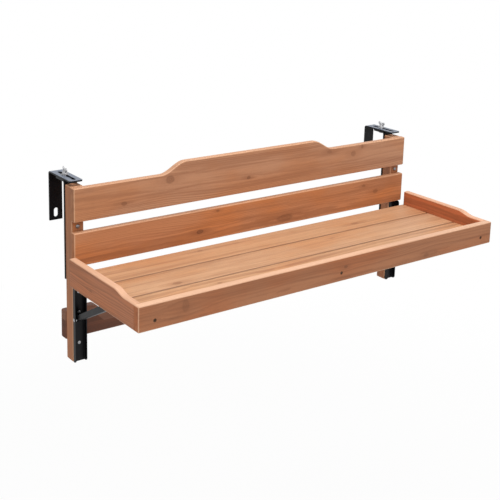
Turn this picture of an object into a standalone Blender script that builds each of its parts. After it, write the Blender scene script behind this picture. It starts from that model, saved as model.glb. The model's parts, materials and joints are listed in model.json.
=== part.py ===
"""Folding hanging table of stained softwood on black steel fold-down brackets.

Metres, +Z up. X runs along the table, +Y points to the wall or railing, and the tray reaches out
towards -Y. The origin is the centre of the lower rail's rear face, which bears on the wall.

The tray turns down about pins in the ears of the two post channels. A strut on each side is riveted
in its channel, and its upper pin slides in the slot of the arm under the tray, from the notch that
holds the tray level to the slot's front end, where strut, arm and channel nest in each other.
"""
import math

import bmesh
import bpy
from mathutils import Matrix, Vector

# Fits shared by all pieces
SEAT = 0.0003                   # gap between two faces that touch
HOLE_PLAY = 0.0003              # radial play of a screw or pin in its hole

# Overall
TABLE_LENGTH = 1.200
TRAY_DEPTH = 0.346              # rear end of the end boards to the front of the apron
TRAY_REAR_GAP = 0.009           # between the back slats' front plane and the tray

# Posts and rail
POST_WIDTH = 0.035
POST_DEPTH = 0.036
POST_LENGTH = 0.477
POST_FOOT_DROP = 0.090          # post's lower end below the rail's middle
POST_INSET = 0.002              # post's outer face inside the slats' ends
RAIL_HEIGHT = 0.080
RAIL_THICKNESS = 0.028
RAIL_STEP_HEIGHT = 0.024        # how much lower the rail is between the posts
RAIL_STEP_LENGTH = 0.034
RAIL_STEP_INSET = 0.046         # from the rail's end to its step
RAIL_ROUND = 0.005

# Back slats
SLAT_HEIGHT = 0.090
SLAT_THICKNESS = 0.019
SLAT_GAP = 0.028
CREST_RISE = 0.030              # raised middle of the top slat
CREST_LENGTH = 0.525            # between the middles of its two S-shaped shoulders
CREST_OFFSET = -0.020           # the raised part sits left of the table's middle
SHOULDER_LENGTH = 0.078

# Tray
RIM_THICKNESS = 0.020           # end boards and apron
RIM_HEIGHT = 0.065
RIM_ABOVE_SLAT_FOOT = 0.021     # apron's top above the middle back slat's lower edge
RIM_RISE = 0.010                # extra height of the end boards' rear part
RIM_STEP_LENGTH = 0.052
RIM_STEP_FROM_FRONT = 0.066
TRAY_RECESS = 0.032             # tray slats' top below the apron's top
TRAY_SLAT_THICKNESS = 0.019
TRAY_SLAT_GAP = 0.004
TRAY_SLAT_SETBACK = 0.001       # rear slat's edge in front of the end boards' rear ends
TRAY_SLAT_COUNT = 3
BATTEN_WIDTH = 0.045
BATTEN_THICKNESS = 0.013
BATTEN_END_GAP = 0.003
EDGE_ROUND = 0.0038             # planed edges of all boards

# Post channel, bent sheet, open to the front
CHANNEL_WIDTH = 0.034
CHANNEL_DEPTH = 0.014
CHANNEL_WALL = 0.0025
CHANNEL_FOOT_GAP = 0.002        # channel's lower end above the post's
CHANNEL_TOP_GAP = 0.004         # channel's upper end below the middle slat
CHANNEL_CORNER = 0.007
EAR_RADIUS = 0.009
BEND_INSIDE = 0.001             # inner radius of the sheet's bends
HINGE_REACH = 0.019             # hinge axis in front of the channel's rear face
HINGE_PIN_RADIUS = 0.003
HINGE_HEAD_RADIUS = 0.005
RIVET_HEAD_HEIGHT = 0.0016
DOME_TOP = 0.6                  # a domed head's flat top, as a share of its radius
DOME_SHOULDER = 0.9             # the same half way up its dome

# Support arm, bent sheet under the tray, open downwards
ARM_WALL = 0.002
ARM_HEIGHT = 0.0195
ARM_PLAY = 0.0008               # between arm and channel, each side
ARM_TAIL = 0.008                # arm behind its hinge
ARM_TIP_GAP = 0.002             # arm's front end behind the apron
ARM_CORNER = 0.005
HINGE_ABOVE_ARM_EDGE = 0.0058
SLOT_ABOVE_ARM_EDGE = 0.0073
SLOT_WIDTH = 0.0066
SLOT_END_WALL = 0.0045          # steel between the slot and the arm's front end
NOTCH_HEIGHT = 0.0035           # rest notch above the slot's line

# Strut, bent sheet, its web on the lower side
STRUT_PIVOT_DROP = 0.104        # strut's rivet below the tray hinge
STRUT_PIVOT_REACH = 0.0082      # strut's rivet in front of the channel's rear face
STRUT_WALL = 0.002
STRUT_PLAY = 0.0008             # between strut and arm, each side
STRUT_BACK = 0.0052             # rivet to the web's outer face
STRUT_TIP_BACK = 0.0090         # slider pin to the web's outer face
STRUT_DEPTH = 0.0150            # at the rivet
STRUT_TIP_DEPTH = 0.0182        # at the slider pin
STRUT_END_RADIUS = 0.0055
STRUT_FOOT_ARC = (200, 330)     # degrees of the round end about the rivet
STRUT_TIP_ARC = (30, 160)       # the same about the slider pin
STRUT_TAPER = 0.016             # run in which the round ends widen to the full depth
STRUT_WEB_END = 0.010           # web's front end short of the slider pin
STRUT_RIVET_RADIUS = 0.0025
STRUT_RIVET_HEAD_RADIUS = 0.0045
SPACER_RADIUS = 0.004
SLIDER_RADIUS = 0.003
SLIDER_PLAY = 0.0004            # between the slider pin's ends and the arm

# Strap behind the post, a bent flat bar
BAR_WIDTH = 0.037               # of strap and hook
BAR_BEND = 0.004                # inner radius of both
STRAP_THICKNESS = 0.005
STRAP_DROP = 0.257              # strap's lower end below the post's top
STRAP_RISE = 0.010              # strap's flange above the post's top
STRAP_REACH = 0.020             # flange's rear end behind the wall plane
STRAP_BOLT_RADIUS = 0.003
STRAP_BOLT_HEAD_RADIUS = 0.0055
STRAP_BOLT_HEAD_HEIGHT = 0.0028
STRAP_BOLT_BELOW_GAP_MIDDLE = 0.002
STRAP_NUT_WIDTH = 0.010
STRAP_NUT_HEIGHT = 0.0045
STRAP_SCREW_INSET = 0.016       # lower strap screw above the strap's lower end

# Hook, a bent flat bar
HOOK_THICKNESS = 0.004
HOOK_GRIP = 0.060               # wall plane to the front of the hook's leg
HOOK_LENGTH = 0.125
HOOK_DROP = 0.136
HOOK_CORNER = 0.006             # round corners of the plate's front end
PLATE_SLOT_WIDTH = 0.010
PLATE_SLOT_LENGTH = 0.092
PLATE_SLOT_INSET = 0.010        # plate's front end to the slot
LEG_SLOT_WIDTH = 0.012
LEG_SLOT_LENGTH = 0.025
LEG_SLOT_INSET = 0.008          # leg's lower end to the slot
STEEL_ROUND = 0.0006

# Hook bolt, washer and wing nut
HOOK_BOLT_BACK = 0.005          # bolt behind the wall plane
HOOK_BOLT_RADIUS = 0.004
HOOK_BOLT_STANDOUT = 0.017      # bolt's end above the hook
HOOK_BOLT_CHAMFER = 0.0007
HOOK_BOLT_HEAD_WIDTH = 0.013
HOOK_BOLT_HEAD_HEIGHT = 0.0053
WASHER_RADIUS = 0.0095
WASHER_THICKNESS = 0.0016
NUT_RADIUS = 0.0075
NUT_TOP_RADIUS = 0.006
NUT_HEIGHT = 0.009
WING_SPAN = 0.032
WING_HEIGHT = 0.018
WING_THICKNESS = 0.0032
WING_FOOT = 0.002               # wings' lower edge above the nut's foot
WING_EAR_RADIUS = 0.0045
WING_EAR_ARC = (-45, 150)       # degrees of a wing's round end
WING_NECK = 0.0045              # wings' half width where they meet above the nut
WING_TURN = math.radians(80)    # how far the nut is turned from the table's long direction

# Wood screws
SCREW_RADIUS = 0.0020
SCREW_HEAD_RADIUS = 0.0044
SCREW_CONE = 0.0028
SCREW_POINT = 0.004
SCREW_TIP_RADIUS = 0.0005
CHANNEL_SCREW_LENGTH = 0.026
CHANNEL_SCREW_ABOVE_FOOT = 0.051
CHANNEL_SCREW_ABOVE_RIVET = 0.018
CHANNEL_SCREW_BELOW_HINGE = 0.030
STRAP_SCREW_LENGTH = 0.026
APRON_SCREW_LENGTH = 0.050
APRON_SCREW_INSET = 0.024       # from the apron's end
APRON_SCREW_OFFSET = 0.014      # the middle one sits right of the table's middle
APRON_SCREW_SINK = 0.0006
ARM_SCREW_LENGTH = 0.016

# Places of the frame
SLAT_LENGTH = TABLE_LENGTH - 2 * (RIM_THICKNESS + SEAT)
SLAT_END = SLAT_LENGTH / 2
POST_X = SLAT_END - POST_INSET - POST_WIDTH / 2
POST_REAR = -(RAIL_THICKNESS + SEAT)
POST_FRONT = POST_REAR - POST_DEPTH
POST_FOOT = -POST_FOOT_DROP
POST_TOP = POST_FOOT + POST_LENGTH
SLAT_REAR = POST_FRONT - SEAT
SLAT_FRONT = SLAT_REAR - SLAT_THICKNESS
TOP_SLAT_FOOT = POST_TOP - SLAT_HEIGHT
MIDDLE_SLAT_FOOT = TOP_SLAT_FOOT - SLAT_GAP - SLAT_HEIGHT

# Places of the tray
TRAY_REAR = SLAT_FRONT - TRAY_REAR_GAP
TRAY_FRONT = TRAY_REAR - TRAY_DEPTH
APRON_REAR = TRAY_FRONT + RIM_THICKNESS
BEHIND_APRON = APRON_REAR + SEAT
RIM_TOP = MIDDLE_SLAT_FOOT + RIM_ABOVE_SLAT_FOOT
RIM_FOOT = RIM_TOP - RIM_HEIGHT
TRAY_TOP = RIM_TOP - TRAY_RECESS
TRAY_UNDER = TRAY_TOP - TRAY_SLAT_THICKNESS
TRAY_SLATS_REAR = TRAY_REAR - TRAY_SLAT_SETBACK
TRAY_SLATS_SPAN = TRAY_SLATS_REAR - BEHIND_APRON + TRAY_SLAT_GAP
TRAY_SLAT_PITCH = TRAY_SLATS_SPAN / TRAY_SLAT_COUNT
TRAY_SLAT_WIDTH = TRAY_SLAT_PITCH - TRAY_SLAT_GAP
TRAY_SLAT_REARS = [TRAY_SLATS_REAR - i * TRAY_SLAT_PITCH for i in range(TRAY_SLAT_COUNT)]
TRAY_SLAT_MIDDLES = [rear - TRAY_SLAT_WIDTH / 2 for rear in TRAY_SLAT_REARS]

# Places of the folding bracket, on the middle plane of its post
CHANNEL_REAR = POST_FRONT - SEAT
CHANNEL_FRONT = CHANNEL_REAR - CHANNEL_WALL
CHANNEL_FOOT = POST_FOOT + CHANNEL_FOOT_GAP
CHANNEL_TOP = MIDDLE_SLAT_FOOT - CHANNEL_TOP_GAP
ARM_WIDTH = CHANNEL_WIDTH - 2 * (CHANNEL_WALL + ARM_PLAY)
ARM_TOP = TRAY_UNDER - SEAT
ARM_EDGE = ARM_TOP - ARM_HEIGHT
ARM_INNER = ARM_WIDTH - 2 * ARM_WALL
HINGE_Y = CHANNEL_REAR - HINGE_REACH
HINGE_Z = ARM_EDGE + HINGE_ABOVE_ARM_EDGE
ARM_REACH = HINGE_Y - APRON_REAR - ARM_TIP_GAP
SLOT_DROP = HINGE_Z - ARM_EDGE - SLOT_ABOVE_ARM_EDGE
SLOT_FRONT = ARM_REACH - SLOT_END_WALL - SLOT_WIDTH / 2
STRUT_WIDTH = ARM_INNER - 2 * STRUT_PLAY
STRUT_Y = CHANNEL_REAR - STRUT_PIVOT_REACH
STRUT_Z = HINGE_Z - STRUT_PIVOT_DROP

# Folded, the slot hangs down in front of the rivet. That fixes the strut's length, and the length
# fixes where its pin rests when the tray is level.
FOLDED_OFFSET = STRUT_Y - HINGE_Y - SLOT_DROP
STRUT_LENGTH = math.hypot(SLOT_FRONT - STRUT_PIVOT_DROP, FOLDED_OFFSET)
SLIDER_RISE = STRUT_PIVOT_DROP - SLOT_DROP + NOTCH_HEIGHT
REST_SLOPE = math.asin(SLIDER_RISE / STRUT_LENGTH)
SLOT_REST = HINGE_Y - STRUT_Y + STRUT_LENGTH * math.cos(REST_SLOPE)
STRUT_TILT = math.asin((STRUT_TIP_BACK - STRUT_BACK) / STRUT_LENGTH)
STRUT_SPAN = STRUT_LENGTH * math.cos(STRUT_TILT)

# Places of strap and hook
STRAP_FRONT = POST_REAR + SEAT
STRAP_REAR = STRAP_FRONT + STRAP_THICKNESS
STRAP_TOP = POST_TOP + STRAP_RISE
STRAP_UNDER = STRAP_TOP - STRAP_THICKNESS
STRAP_FOOT = POST_TOP - STRAP_DROP
STRAP_BOLT_Z = TOP_SLAT_FOOT - SLAT_GAP / 2 - STRAP_BOLT_BELOW_GAP_MIDDLE
HOOK_UNDER = STRAP_TOP + SEAT
HOOK_TOP = HOOK_UNDER + HOOK_THICKNESS
HOOK_REAR = HOOK_GRIP + HOOK_THICKNESS
HOOK_FRONT = HOOK_REAR - HOOK_LENGTH
HOOK_FOOT = HOOK_TOP - HOOK_DROP
PLATE_SLOT_FRONT = HOOK_FRONT + PLATE_SLOT_INSET
PLATE_SLOT_REAR = PLATE_SLOT_FRONT + PLATE_SLOT_LENGTH
WASHER_FOOT = HOOK_TOP + SEAT
NUT_FOOT = WASHER_FOOT + WASHER_THICKNESS + SEAT

# Facets
ROUND_SIDES = 16
SMALL_SIDES = 12
HEXAGON = 6
CURVE_STEPS = 12
CORNER_STEPS = 4
SHARP_ANGLE = math.radians(40)  # edges above it stay sharp in shading
BEVEL_ANGLE = math.radians(30)  # edges above it are rounded
FLAT_ANGLE = math.radians(0.5)  # faces below it are joined
MERGE_DISTANCE = 0.00002
THROUGH = 0.100                 # length of cutters that pass right through a piece

# Rotations that stand an XY outline up: as a front view in XZ, or as a side view in YZ
AS_FRONT_VIEW = (math.pi / 2, 0.0, 0.0)
AS_SIDE_VIEW = (math.pi / 2, 0.0, math.pi / 2)
ALONG_X = (0.0, math.pi / 2, 0.0)
ALONG_Y = (-math.pi / 2, 0.0, 0.0)
SIDE_VIEW = Matrix(((0, 0, 1, 0), (1, 0, 0, 0), (0, 1, 0, 0), (0, 0, 0, 1)))
LEFT, RIGHT = -1, 1
SIDES = {LEFT: "left", RIGHT: "right"}


def fresh_collections():
    """Empties the scene and makes the collections for the parts and for the cutters."""
    for old in list(bpy.data.objects):
        bpy.data.objects.remove(old, do_unlink=True)
    parts = bpy.data.collections.new("folding_hanging_table")
    cutters = bpy.data.collections.new("cutters")
    for collection in (parts, cutters):
        bpy.context.scene.collection.children.link(collection)
    return parts, cutters


PARTS, CUTTERS = fresh_collections()


def finish(name, colour, roughness, metallic=0.0):
    """A Principled material."""
    material = bpy.data.materials.new(name)
    material.use_nodes = True
    shader = material.node_tree.nodes["Principled BSDF"]
    shader.inputs["Base Color"].default_value = (*colour, 1.0)
    shader.inputs["Roughness"].default_value = roughness
    shader.inputs["Metallic"].default_value = metallic
    return material


FRAME_WOOD = finish("stained_softwood", (0.35, 0.16, 0.08), 0.55)
TRAY_WOOD = finish("stained_softwood_tray", (0.68, 0.40, 0.24), 0.5)
STEEL = finish("black_powder_coat", (0.012, 0.012, 0.014), 0.4)
ZINC = finish("zinc_plate", (0.62, 0.62, 0.6), 0.35, 1.0)


def add_object(name, mesh, material=None, location=(0.0, 0.0, 0.0), rotation=(0.0, 0.0, 0.0)):
    """Places a mesh as a part, or as a cutter if it has no material."""
    thing = bpy.data.objects.new(name, mesh)
    thing.location = location
    thing.rotation_euler = rotation
    if material is None:
        CUTTERS.objects.link(thing)
        thing.hide_render = True
        thing.display_type = "WIRE"
    else:
        if not mesh.materials:
            mesh.materials.append(material)
        PARTS.objects.link(thing)
    return thing


def mesh_from(bm, name):
    """Turns a bmesh into a mesh with its faces pointing out."""
    bmesh.ops.recalc_face_normals(bm, faces=bm.faces)
    mesh = bpy.data.meshes.new(name)
    bm.to_mesh(mesh)
    bm.free()
    return mesh


def shade_round(mesh):
    """Shades round faces smooth and keeps the corners sharp."""
    mesh.shade_smooth()
    mesh.set_sharp_from_angle(angle=SHARP_ANGLE)


def round_edges(thing, width, segments=2):
    """Rounds the sharp edges of a piece."""
    bevel = thing.modifiers.new("rounded_edges", "BEVEL")
    bevel.width = width
    bevel.segments = segments
    bevel.limit_method = "ANGLE"
    bevel.angle_limit = BEVEL_ANGLE


def combine(thing, other, operation="DIFFERENCE"):
    """Cuts a piece with another object, or joins or intersects it with one."""
    boolean = thing.modifiers.new(other.name, "BOOLEAN")
    boolean.operation = operation
    boolean.solver = "EXACT"
    boolean.object = other


def attach(children, parent):
    """Hangs pieces or cutters on an empty and leaves them where they are."""
    for child in children:
        child.location = child.location - parent.location
        child.parent = parent


def joint_empty(name, place):
    """An empty on a joint's axis, the parent of what moves about it."""
    empty = bpy.data.objects.new(name, None)
    empty.location = place
    PARTS.objects.link(empty)
    return empty


def along(axis):
    """The rotation that turns +Z to an axis."""
    return Vector(axis).normalized().to_track_quat("Z", "Y").to_matrix().to_4x4()


def rod_into(bm, start, axis, radius, length, sides=ROUND_SIDES):
    """Adds a rod from start along axis."""
    centre = Vector(start) + Vector(axis).normalized() * length / 2
    bmesh.ops.create_cone(bm, cap_ends=True, segments=sides, radius1=radius, radius2=radius,
                          depth=length, matrix=Matrix.Translation(centre) @ along(axis))


def baked(name, guide):
    """The mesh that a guide object shows, its doubles merged and its flat faces joined. The guide goes."""
    bpy.context.scene.collection.objects.link(guide)
    shown = bpy.data.meshes.new_from_object(guide.evaluated_get(bpy.context.evaluated_depsgraph_get()))
    shape = guide.data
    bpy.data.objects.remove(guide, do_unlink=True)
    bm = bmesh.new()
    bm.from_mesh(shown)
    bpy.data.batch_remove((shape, shown))
    bmesh.ops.remove_doubles(bm, verts=bm.verts, dist=MERGE_DISTANCE)
    bmesh.ops.dissolve_limit(bm, angle_limit=FLAT_ANGLE, verts=bm.verts, edges=bm.edges)
    return mesh_from(bm, name)


def turned_mesh(name, profile, sides=ROUND_SIDES):
    """A solid turned about Z. profile lists (height, radius) from one end to the other."""
    points = [(0.0, profile[0][0]), *[(radius, height) for height, radius in profile], (0.0, profile[-1][0])]
    lathe = bpy.data.meshes.new(name + "_profile")
    lathe.from_pydata([(x, 0.0, z) for x, z in points], [(i, i + 1) for i in range(len(points) - 1)], [])
    guide = bpy.data.objects.new(name + "_profile", lathe)
    screw = guide.modifiers.new("turned", "SCREW")
    screw.steps = screw.render_steps = sides
    return baked(name, guide)


def outline_mesh(name, points, thickness):
    """A closed outline in XY as a plate, centred on its plane."""
    curve = bpy.data.curves.new(name, "CURVE")
    curve.dimensions = "2D"
    curve.fill_mode = "BOTH"
    curve.extrude = thickness / 2
    spline = curve.splines.new("POLY")
    spline.points.add(len(points) - 1)
    for point, (x, y) in zip(spline.points, points):
        point.co = (x, y, 0.0, 1.0)
    spline.use_cyclic_u = True
    return baked(name, bpy.data.objects.new(name + "_curve", curve))


def arc(centre, radius, start, end, steps=CORNER_STEPS):
    """Points on an arc, angles in degrees."""
    turns = [math.radians(start + (end - start) * i / steps) for i in range(steps + 1)]
    return [(centre[0] + radius * math.cos(t), centre[1] + radius * math.sin(t)) for t in turns]


def s_curve(start, end, steps=CURVE_STEPS):
    """Points of an S between two places, level at both ends."""
    points = []
    for i in range(steps + 1):
        share = i / steps
        ease = (1 - math.cos(math.pi * share)) / 2
        points.append((start[0] + (end[0] - start[0]) * share, start[1] + (end[1] - start[1]) * ease))
    return points


def slot_outline(start, end, width):
    """A round-ended slot between the centres of its two ends."""
    heading = math.degrees(math.atan2(end[1] - start[1], end[0] - start[0]))
    return (arc(start, width / 2, heading + 90, heading + 270, 2 * CORNER_STEPS)
            + arc(end, width / 2, heading - 90, heading + 90, 2 * CORNER_STEPS))


def board(name, low, high, material=FRAME_WOOD):
    """A planed board with rounded edges between two corners."""
    low, high = Vector(low), Vector(high)
    bm = bmesh.new()
    bmesh.ops.create_cube(bm, size=1.0, matrix=Matrix.Diagonal((*(high - low), 1.0)))
    thing = add_object(name, mesh_from(bm, name), material, (low + high) / 2)
    round_edges(thing, EDGE_ROUND)
    return thing


def shaped_board(name, outline, thickness, location, rotation, edge=EDGE_ROUND):
    """A board sawn to an outline, with rounded edges."""
    thing = add_object(name, outline_mesh(name, outline, thickness), FRAME_WOOD, location, rotation)
    round_edges(thing, edge)
    return thing


def drill(things, name, holes, parent=None):
    """Drills round holes through pieces: each is (centre, axis, radius)."""
    bm = bmesh.new()
    for centre, axis, radius in holes:
        start = Vector(centre) - Vector(axis).normalized() * THROUGH / 2
        rod_into(bm, start, axis, radius, THROUGH, SMALL_SIDES)
    cutter = add_object(name, mesh_from(bm, name))
    for thing in things:
        combine(thing, cutter)
    if parent:
        attach([cutter], parent)


def wood_screws(spots, length, boards, parent=None, sink=0.0):
    """Countersunk screws, and their holes in all that they pass.

    spots lists (name, point on the surface, direction); the heads lie sink below the surface.
    """
    bore, mouth = SCREW_RADIUS + HOLE_PLAY, SCREW_HEAD_RADIUS + HOLE_PLAY
    holes = spots[0][0] + "_holes"
    mesh = turned_mesh("wood_screw", [(0.0, SCREW_HEAD_RADIUS), (SCREW_CONE, SCREW_RADIUS),
                                      (length - SCREW_POINT, SCREW_RADIUS), (length, SCREW_TIP_RADIUS)],
                       SMALL_SIDES)
    hole = turned_mesh(holes, [(-SCREW_HEAD_RADIUS, mouth), (HOLE_PLAY, mouth),
                               (SCREW_CONE + HOLE_PLAY, bore), (length + HOLE_PLAY, bore)], SMALL_SIDES)
    cuts, things = bmesh.new(), []
    for name, point, direction in spots:
        head = Vector(point) + Vector(direction) * sink
        one = hole.copy()
        one.transform(Matrix.Translation(head) @ along(direction))
        cuts.from_mesh(one)
        bpy.data.meshes.remove(one)
        things.append(add_object(name, mesh, ZINC, head, along(direction).to_euler()))
    bpy.data.meshes.remove(hole)
    shade_round(mesh)
    cutter = add_object(holes, mesh_from(cuts, holes))
    for piece in boards:
        combine(piece, cutter)
    if parent:
        attach([*things, cutter], parent)


def domed_head(radius, height, seat):
    """Profile points (height, radius) of a flat-domed head, from its top to its rim at height = seat."""
    return [(seat - height, radius * DOME_TOP), (seat - height / 2, radius * DOME_SHOULDER), (seat, radius)]


def cross_pin_mesh(name, half_length, radius, head_radius):
    """A pin along Z with a domed head at each end, centred on its middle."""
    half = [*domed_head(head_radius, RIVET_HEAD_HEIGHT, -half_length), (-half_length, radius)]
    return turned_mesh(name, half + [(-height, width) for height, width in reversed(half)])


def rod_mesh(name, radius, length, sides=ROUND_SIDES):
    """A plain rod along Z, standing on its origin."""
    bm = bmesh.new()
    rod_into(bm, (0, 0, 0), (0, 0, 1), radius, length, sides)
    return mesh_from(bm, name)


def sheet_channel(name, width, wall, web, opens, side, location, rotation=(0.0, 0.0, 0.0)):
    """A bent sheet channel that runs along its own Z.

    Its web's outer face lies at y = web, and its flanges point to opens * Y. side is its outline in
    the side view as (y, z) points. The flanges are cut to it.
    """
    half, outer = width / 2, BEND_INSIDE + wall
    depth = max(abs(y - web) for y, z in side)
    low, high = min(z for y, z in side), max(z for y, z in side)
    inner_half = half - wall
    section = [(half, depth), *arc((half - outer, outer), outer, 0, -90),
               *arc((outer - half, outer), outer, -90, -180), (-half, depth), (-inner_half, depth),
               *arc((outer - half, outer), BEND_INSIDE, 180, 270),
               *arc((half - outer, outer), BEND_INSIDE, -90, 0), (inner_half, depth)]
    margin = wall
    mesh = outline_mesh(name, [(x, web + opens * y) for x, y in section], high - low + 2 * margin)
    mesh.transform(Matrix.Translation((0.0, 0.0, (low + high) / 2)))
    thing = add_object(name, mesh, STEEL, location, rotation)
    sheath = side_cutter(thing, name + "_outline", side)
    combine(thing, sheath, "INTERSECT")
    return thing, sheath


def side_cutter(thing, name, outline):
    """A cutter in a piece's own frame, through it along X, from an outline of (y, z) points."""
    mesh = outline_mesh(name, outline, THROUGH)
    mesh.transform(SIDE_VIEW)
    return add_object(name, mesh, None, thing.location, thing.rotation_euler)


def build_posts_and_rail():
    """The two posts and the lower rail that bears on the wall."""
    posts = []
    for side, word in SIDES.items():
        x = side * POST_X
        posts.append(board("post_" + word, (x - POST_WIDTH / 2, POST_FRONT, POST_FOOT),
                           (x + POST_WIDTH / 2, POST_REAR, POST_TOP)))
    high = RAIL_HEIGHT / 2
    low_top = high - RAIL_STEP_HEIGHT
    step = SLAT_END - RAIL_STEP_INSET
    outline = [(-SLAT_END, -high), (SLAT_END, -high), (SLAT_END, high),
               *s_curve((step, high), (step - RAIL_STEP_LENGTH, low_top)),
               *s_curve((RAIL_STEP_LENGTH - step, low_top), (-step, high)), (-SLAT_END, high)]
    shaped_board("lower_rear_rail", outline, RAIL_THICKNESS, (0.0, -RAIL_THICKNESS / 2, 0.0),
                 AS_FRONT_VIEW, RAIL_ROUND)
    return posts


def build_back_slats():
    """The two slats across the posts' front, the upper one with its raised middle."""
    crest_left = CREST_OFFSET - CREST_LENGTH / 2
    crest_right = CREST_OFFSET + CREST_LENGTH / 2
    half_run = SHOULDER_LENGTH / 2
    crest = POST_TOP + CREST_RISE
    outline = [(-SLAT_END, TOP_SLAT_FOOT), (SLAT_END, TOP_SLAT_FOOT), (SLAT_END, POST_TOP),
               *s_curve((crest_right + half_run, POST_TOP), (crest_right - half_run, crest)),
               *s_curve((crest_left + half_run, crest), (crest_left - half_run, POST_TOP)),
               (-SLAT_END, POST_TOP)]
    shaped_board("back_slat_top", outline, SLAT_THICKNESS, (0.0, SLAT_REAR - SLAT_THICKNESS / 2, 0.0),
                 AS_FRONT_VIEW)
    board("back_slat_middle", (-SLAT_END, SLAT_FRONT, MIDDLE_SLAT_FOOT),
          (SLAT_END, SLAT_REAR, MIDDLE_SLAT_FOOT + SLAT_HEIGHT))


def build_tray(fold):
    """The tray: slats in a rim of apron and end boards, with a batten under their middle."""
    rear_top = RIM_TOP + RIM_RISE
    step = TRAY_FRONT + RIM_STEP_FROM_FRONT
    outline = [(TRAY_REAR, RIM_FOOT), (TRAY_REAR, rear_top),
               *s_curve((step + RIM_STEP_LENGTH, rear_top), (step, RIM_TOP)),
               (BEHIND_APRON, RIM_TOP), (BEHIND_APRON, RIM_FOOT)]
    ends = []
    for side, word in SIDES.items():
        x = side * (TABLE_LENGTH - RIM_THICKNESS) / 2
        ends.append(shaped_board("end_board_" + word, outline, RIM_THICKNESS, (x, 0.0, 0.0), AS_SIDE_VIEW))
    half_length = TABLE_LENGTH / 2
    apron = board("front_apron", (-half_length, TRAY_FRONT, RIM_FOOT), (half_length, APRON_REAR, RIM_TOP))
    slats = []
    for name, rear in zip(("rear", "middle", "front"), TRAY_SLAT_REARS):
        slats.append(board("tray_slat_" + name, (-SLAT_END, rear - TRAY_SLAT_WIDTH, TRAY_UNDER),
                           (SLAT_END, rear, TRAY_TOP), TRAY_WOOD))
    batten_foot = ARM_TOP - BATTEN_THICKNESS
    batten = board("tray_batten", (-BATTEN_WIDTH / 2, APRON_REAR + BATTEN_END_GAP, batten_foot),
                   (BATTEN_WIDTH / 2, TRAY_SLATS_REAR - BATTEN_END_GAP, ARM_TOP))
    attach([*ends, apron, *slats, batten], fold)

    slat_middle = (TRAY_TOP + TRAY_UNDER) / 2
    end_screw = SLAT_END - APRON_SCREW_INSET
    columns = {"left": -end_screw, "middle": APRON_SCREW_OFFSET, "right": end_screw}
    spots = [("apron_screw_" + word, (x, TRAY_FRONT, slat_middle), (0, 1, 0)) for word, x in columns.items()]
    wood_screws(spots, APRON_SCREW_LENGTH, [apron, slats[-1]], fold, APRON_SCREW_SINK)
    return slats


def channel_side():
    """The post channel's side view: narrow flanges, and ears that carry the arm's hinge."""
    hinge = (-HINGE_REACH, HINGE_Z)
    run = EAR_RADIUS * math.sqrt(2) + HINGE_REACH - CHANNEL_DEPTH
    corner = CHANNEL_CORNER
    return [(0.0, CHANNEL_FOOT), *arc((corner - CHANNEL_DEPTH, CHANNEL_FOOT + corner), corner, 270, 180),
            (-CHANNEL_DEPTH, HINGE_Z - run), *arc(hinge, EAR_RADIUS, 225, 135, 2 * CORNER_STEPS),
            (-CHANNEL_DEPTH, HINGE_Z + run),
            *arc((corner - CHANNEL_DEPTH, CHANNEL_TOP - corner), corner, 180, 90), (0.0, CHANNEL_TOP)]


def arm_side():
    """The arm's side view in its own frame: z forward from the hinge, y up from it."""
    top, edge = ARM_TOP - HINGE_Z, ARM_EDGE - HINGE_Z
    return [(top, -ARM_TAIL), *arc((edge + ARM_CORNER, ARM_CORNER - ARM_TAIL), ARM_CORNER, 270, 180),
            *arc((edge + ARM_CORNER, ARM_REACH - ARM_CORNER), ARM_CORNER, 180, 90), (top, ARM_REACH)]


def strut_side():
    """The strut's side view in its own frame: z from the rivet to the slider pin, y away from the web."""
    lift = STRUT_TIP_BACK - STRUT_BACK
    slider = (lift, STRUT_SPAN)
    upper_start = STRUT_DEPTH - STRUT_BACK
    upper_end = STRUT_TIP_DEPTH - STRUT_BACK
    return [(-STRUT_BACK, 0.0), *arc((0.0, 0.0), STRUT_BACK, *STRUT_FOOT_ARC, 2 * CORNER_STEPS),
            (upper_start, STRUT_TAPER), (upper_end, STRUT_SPAN - STRUT_TAPER),
            *arc(slider, STRUT_END_RADIUS, *STRUT_TIP_ARC, 2 * CORNER_STEPS),
            (-STRUT_BACK, STRUT_SPAN - STRUT_WEB_END)]


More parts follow.
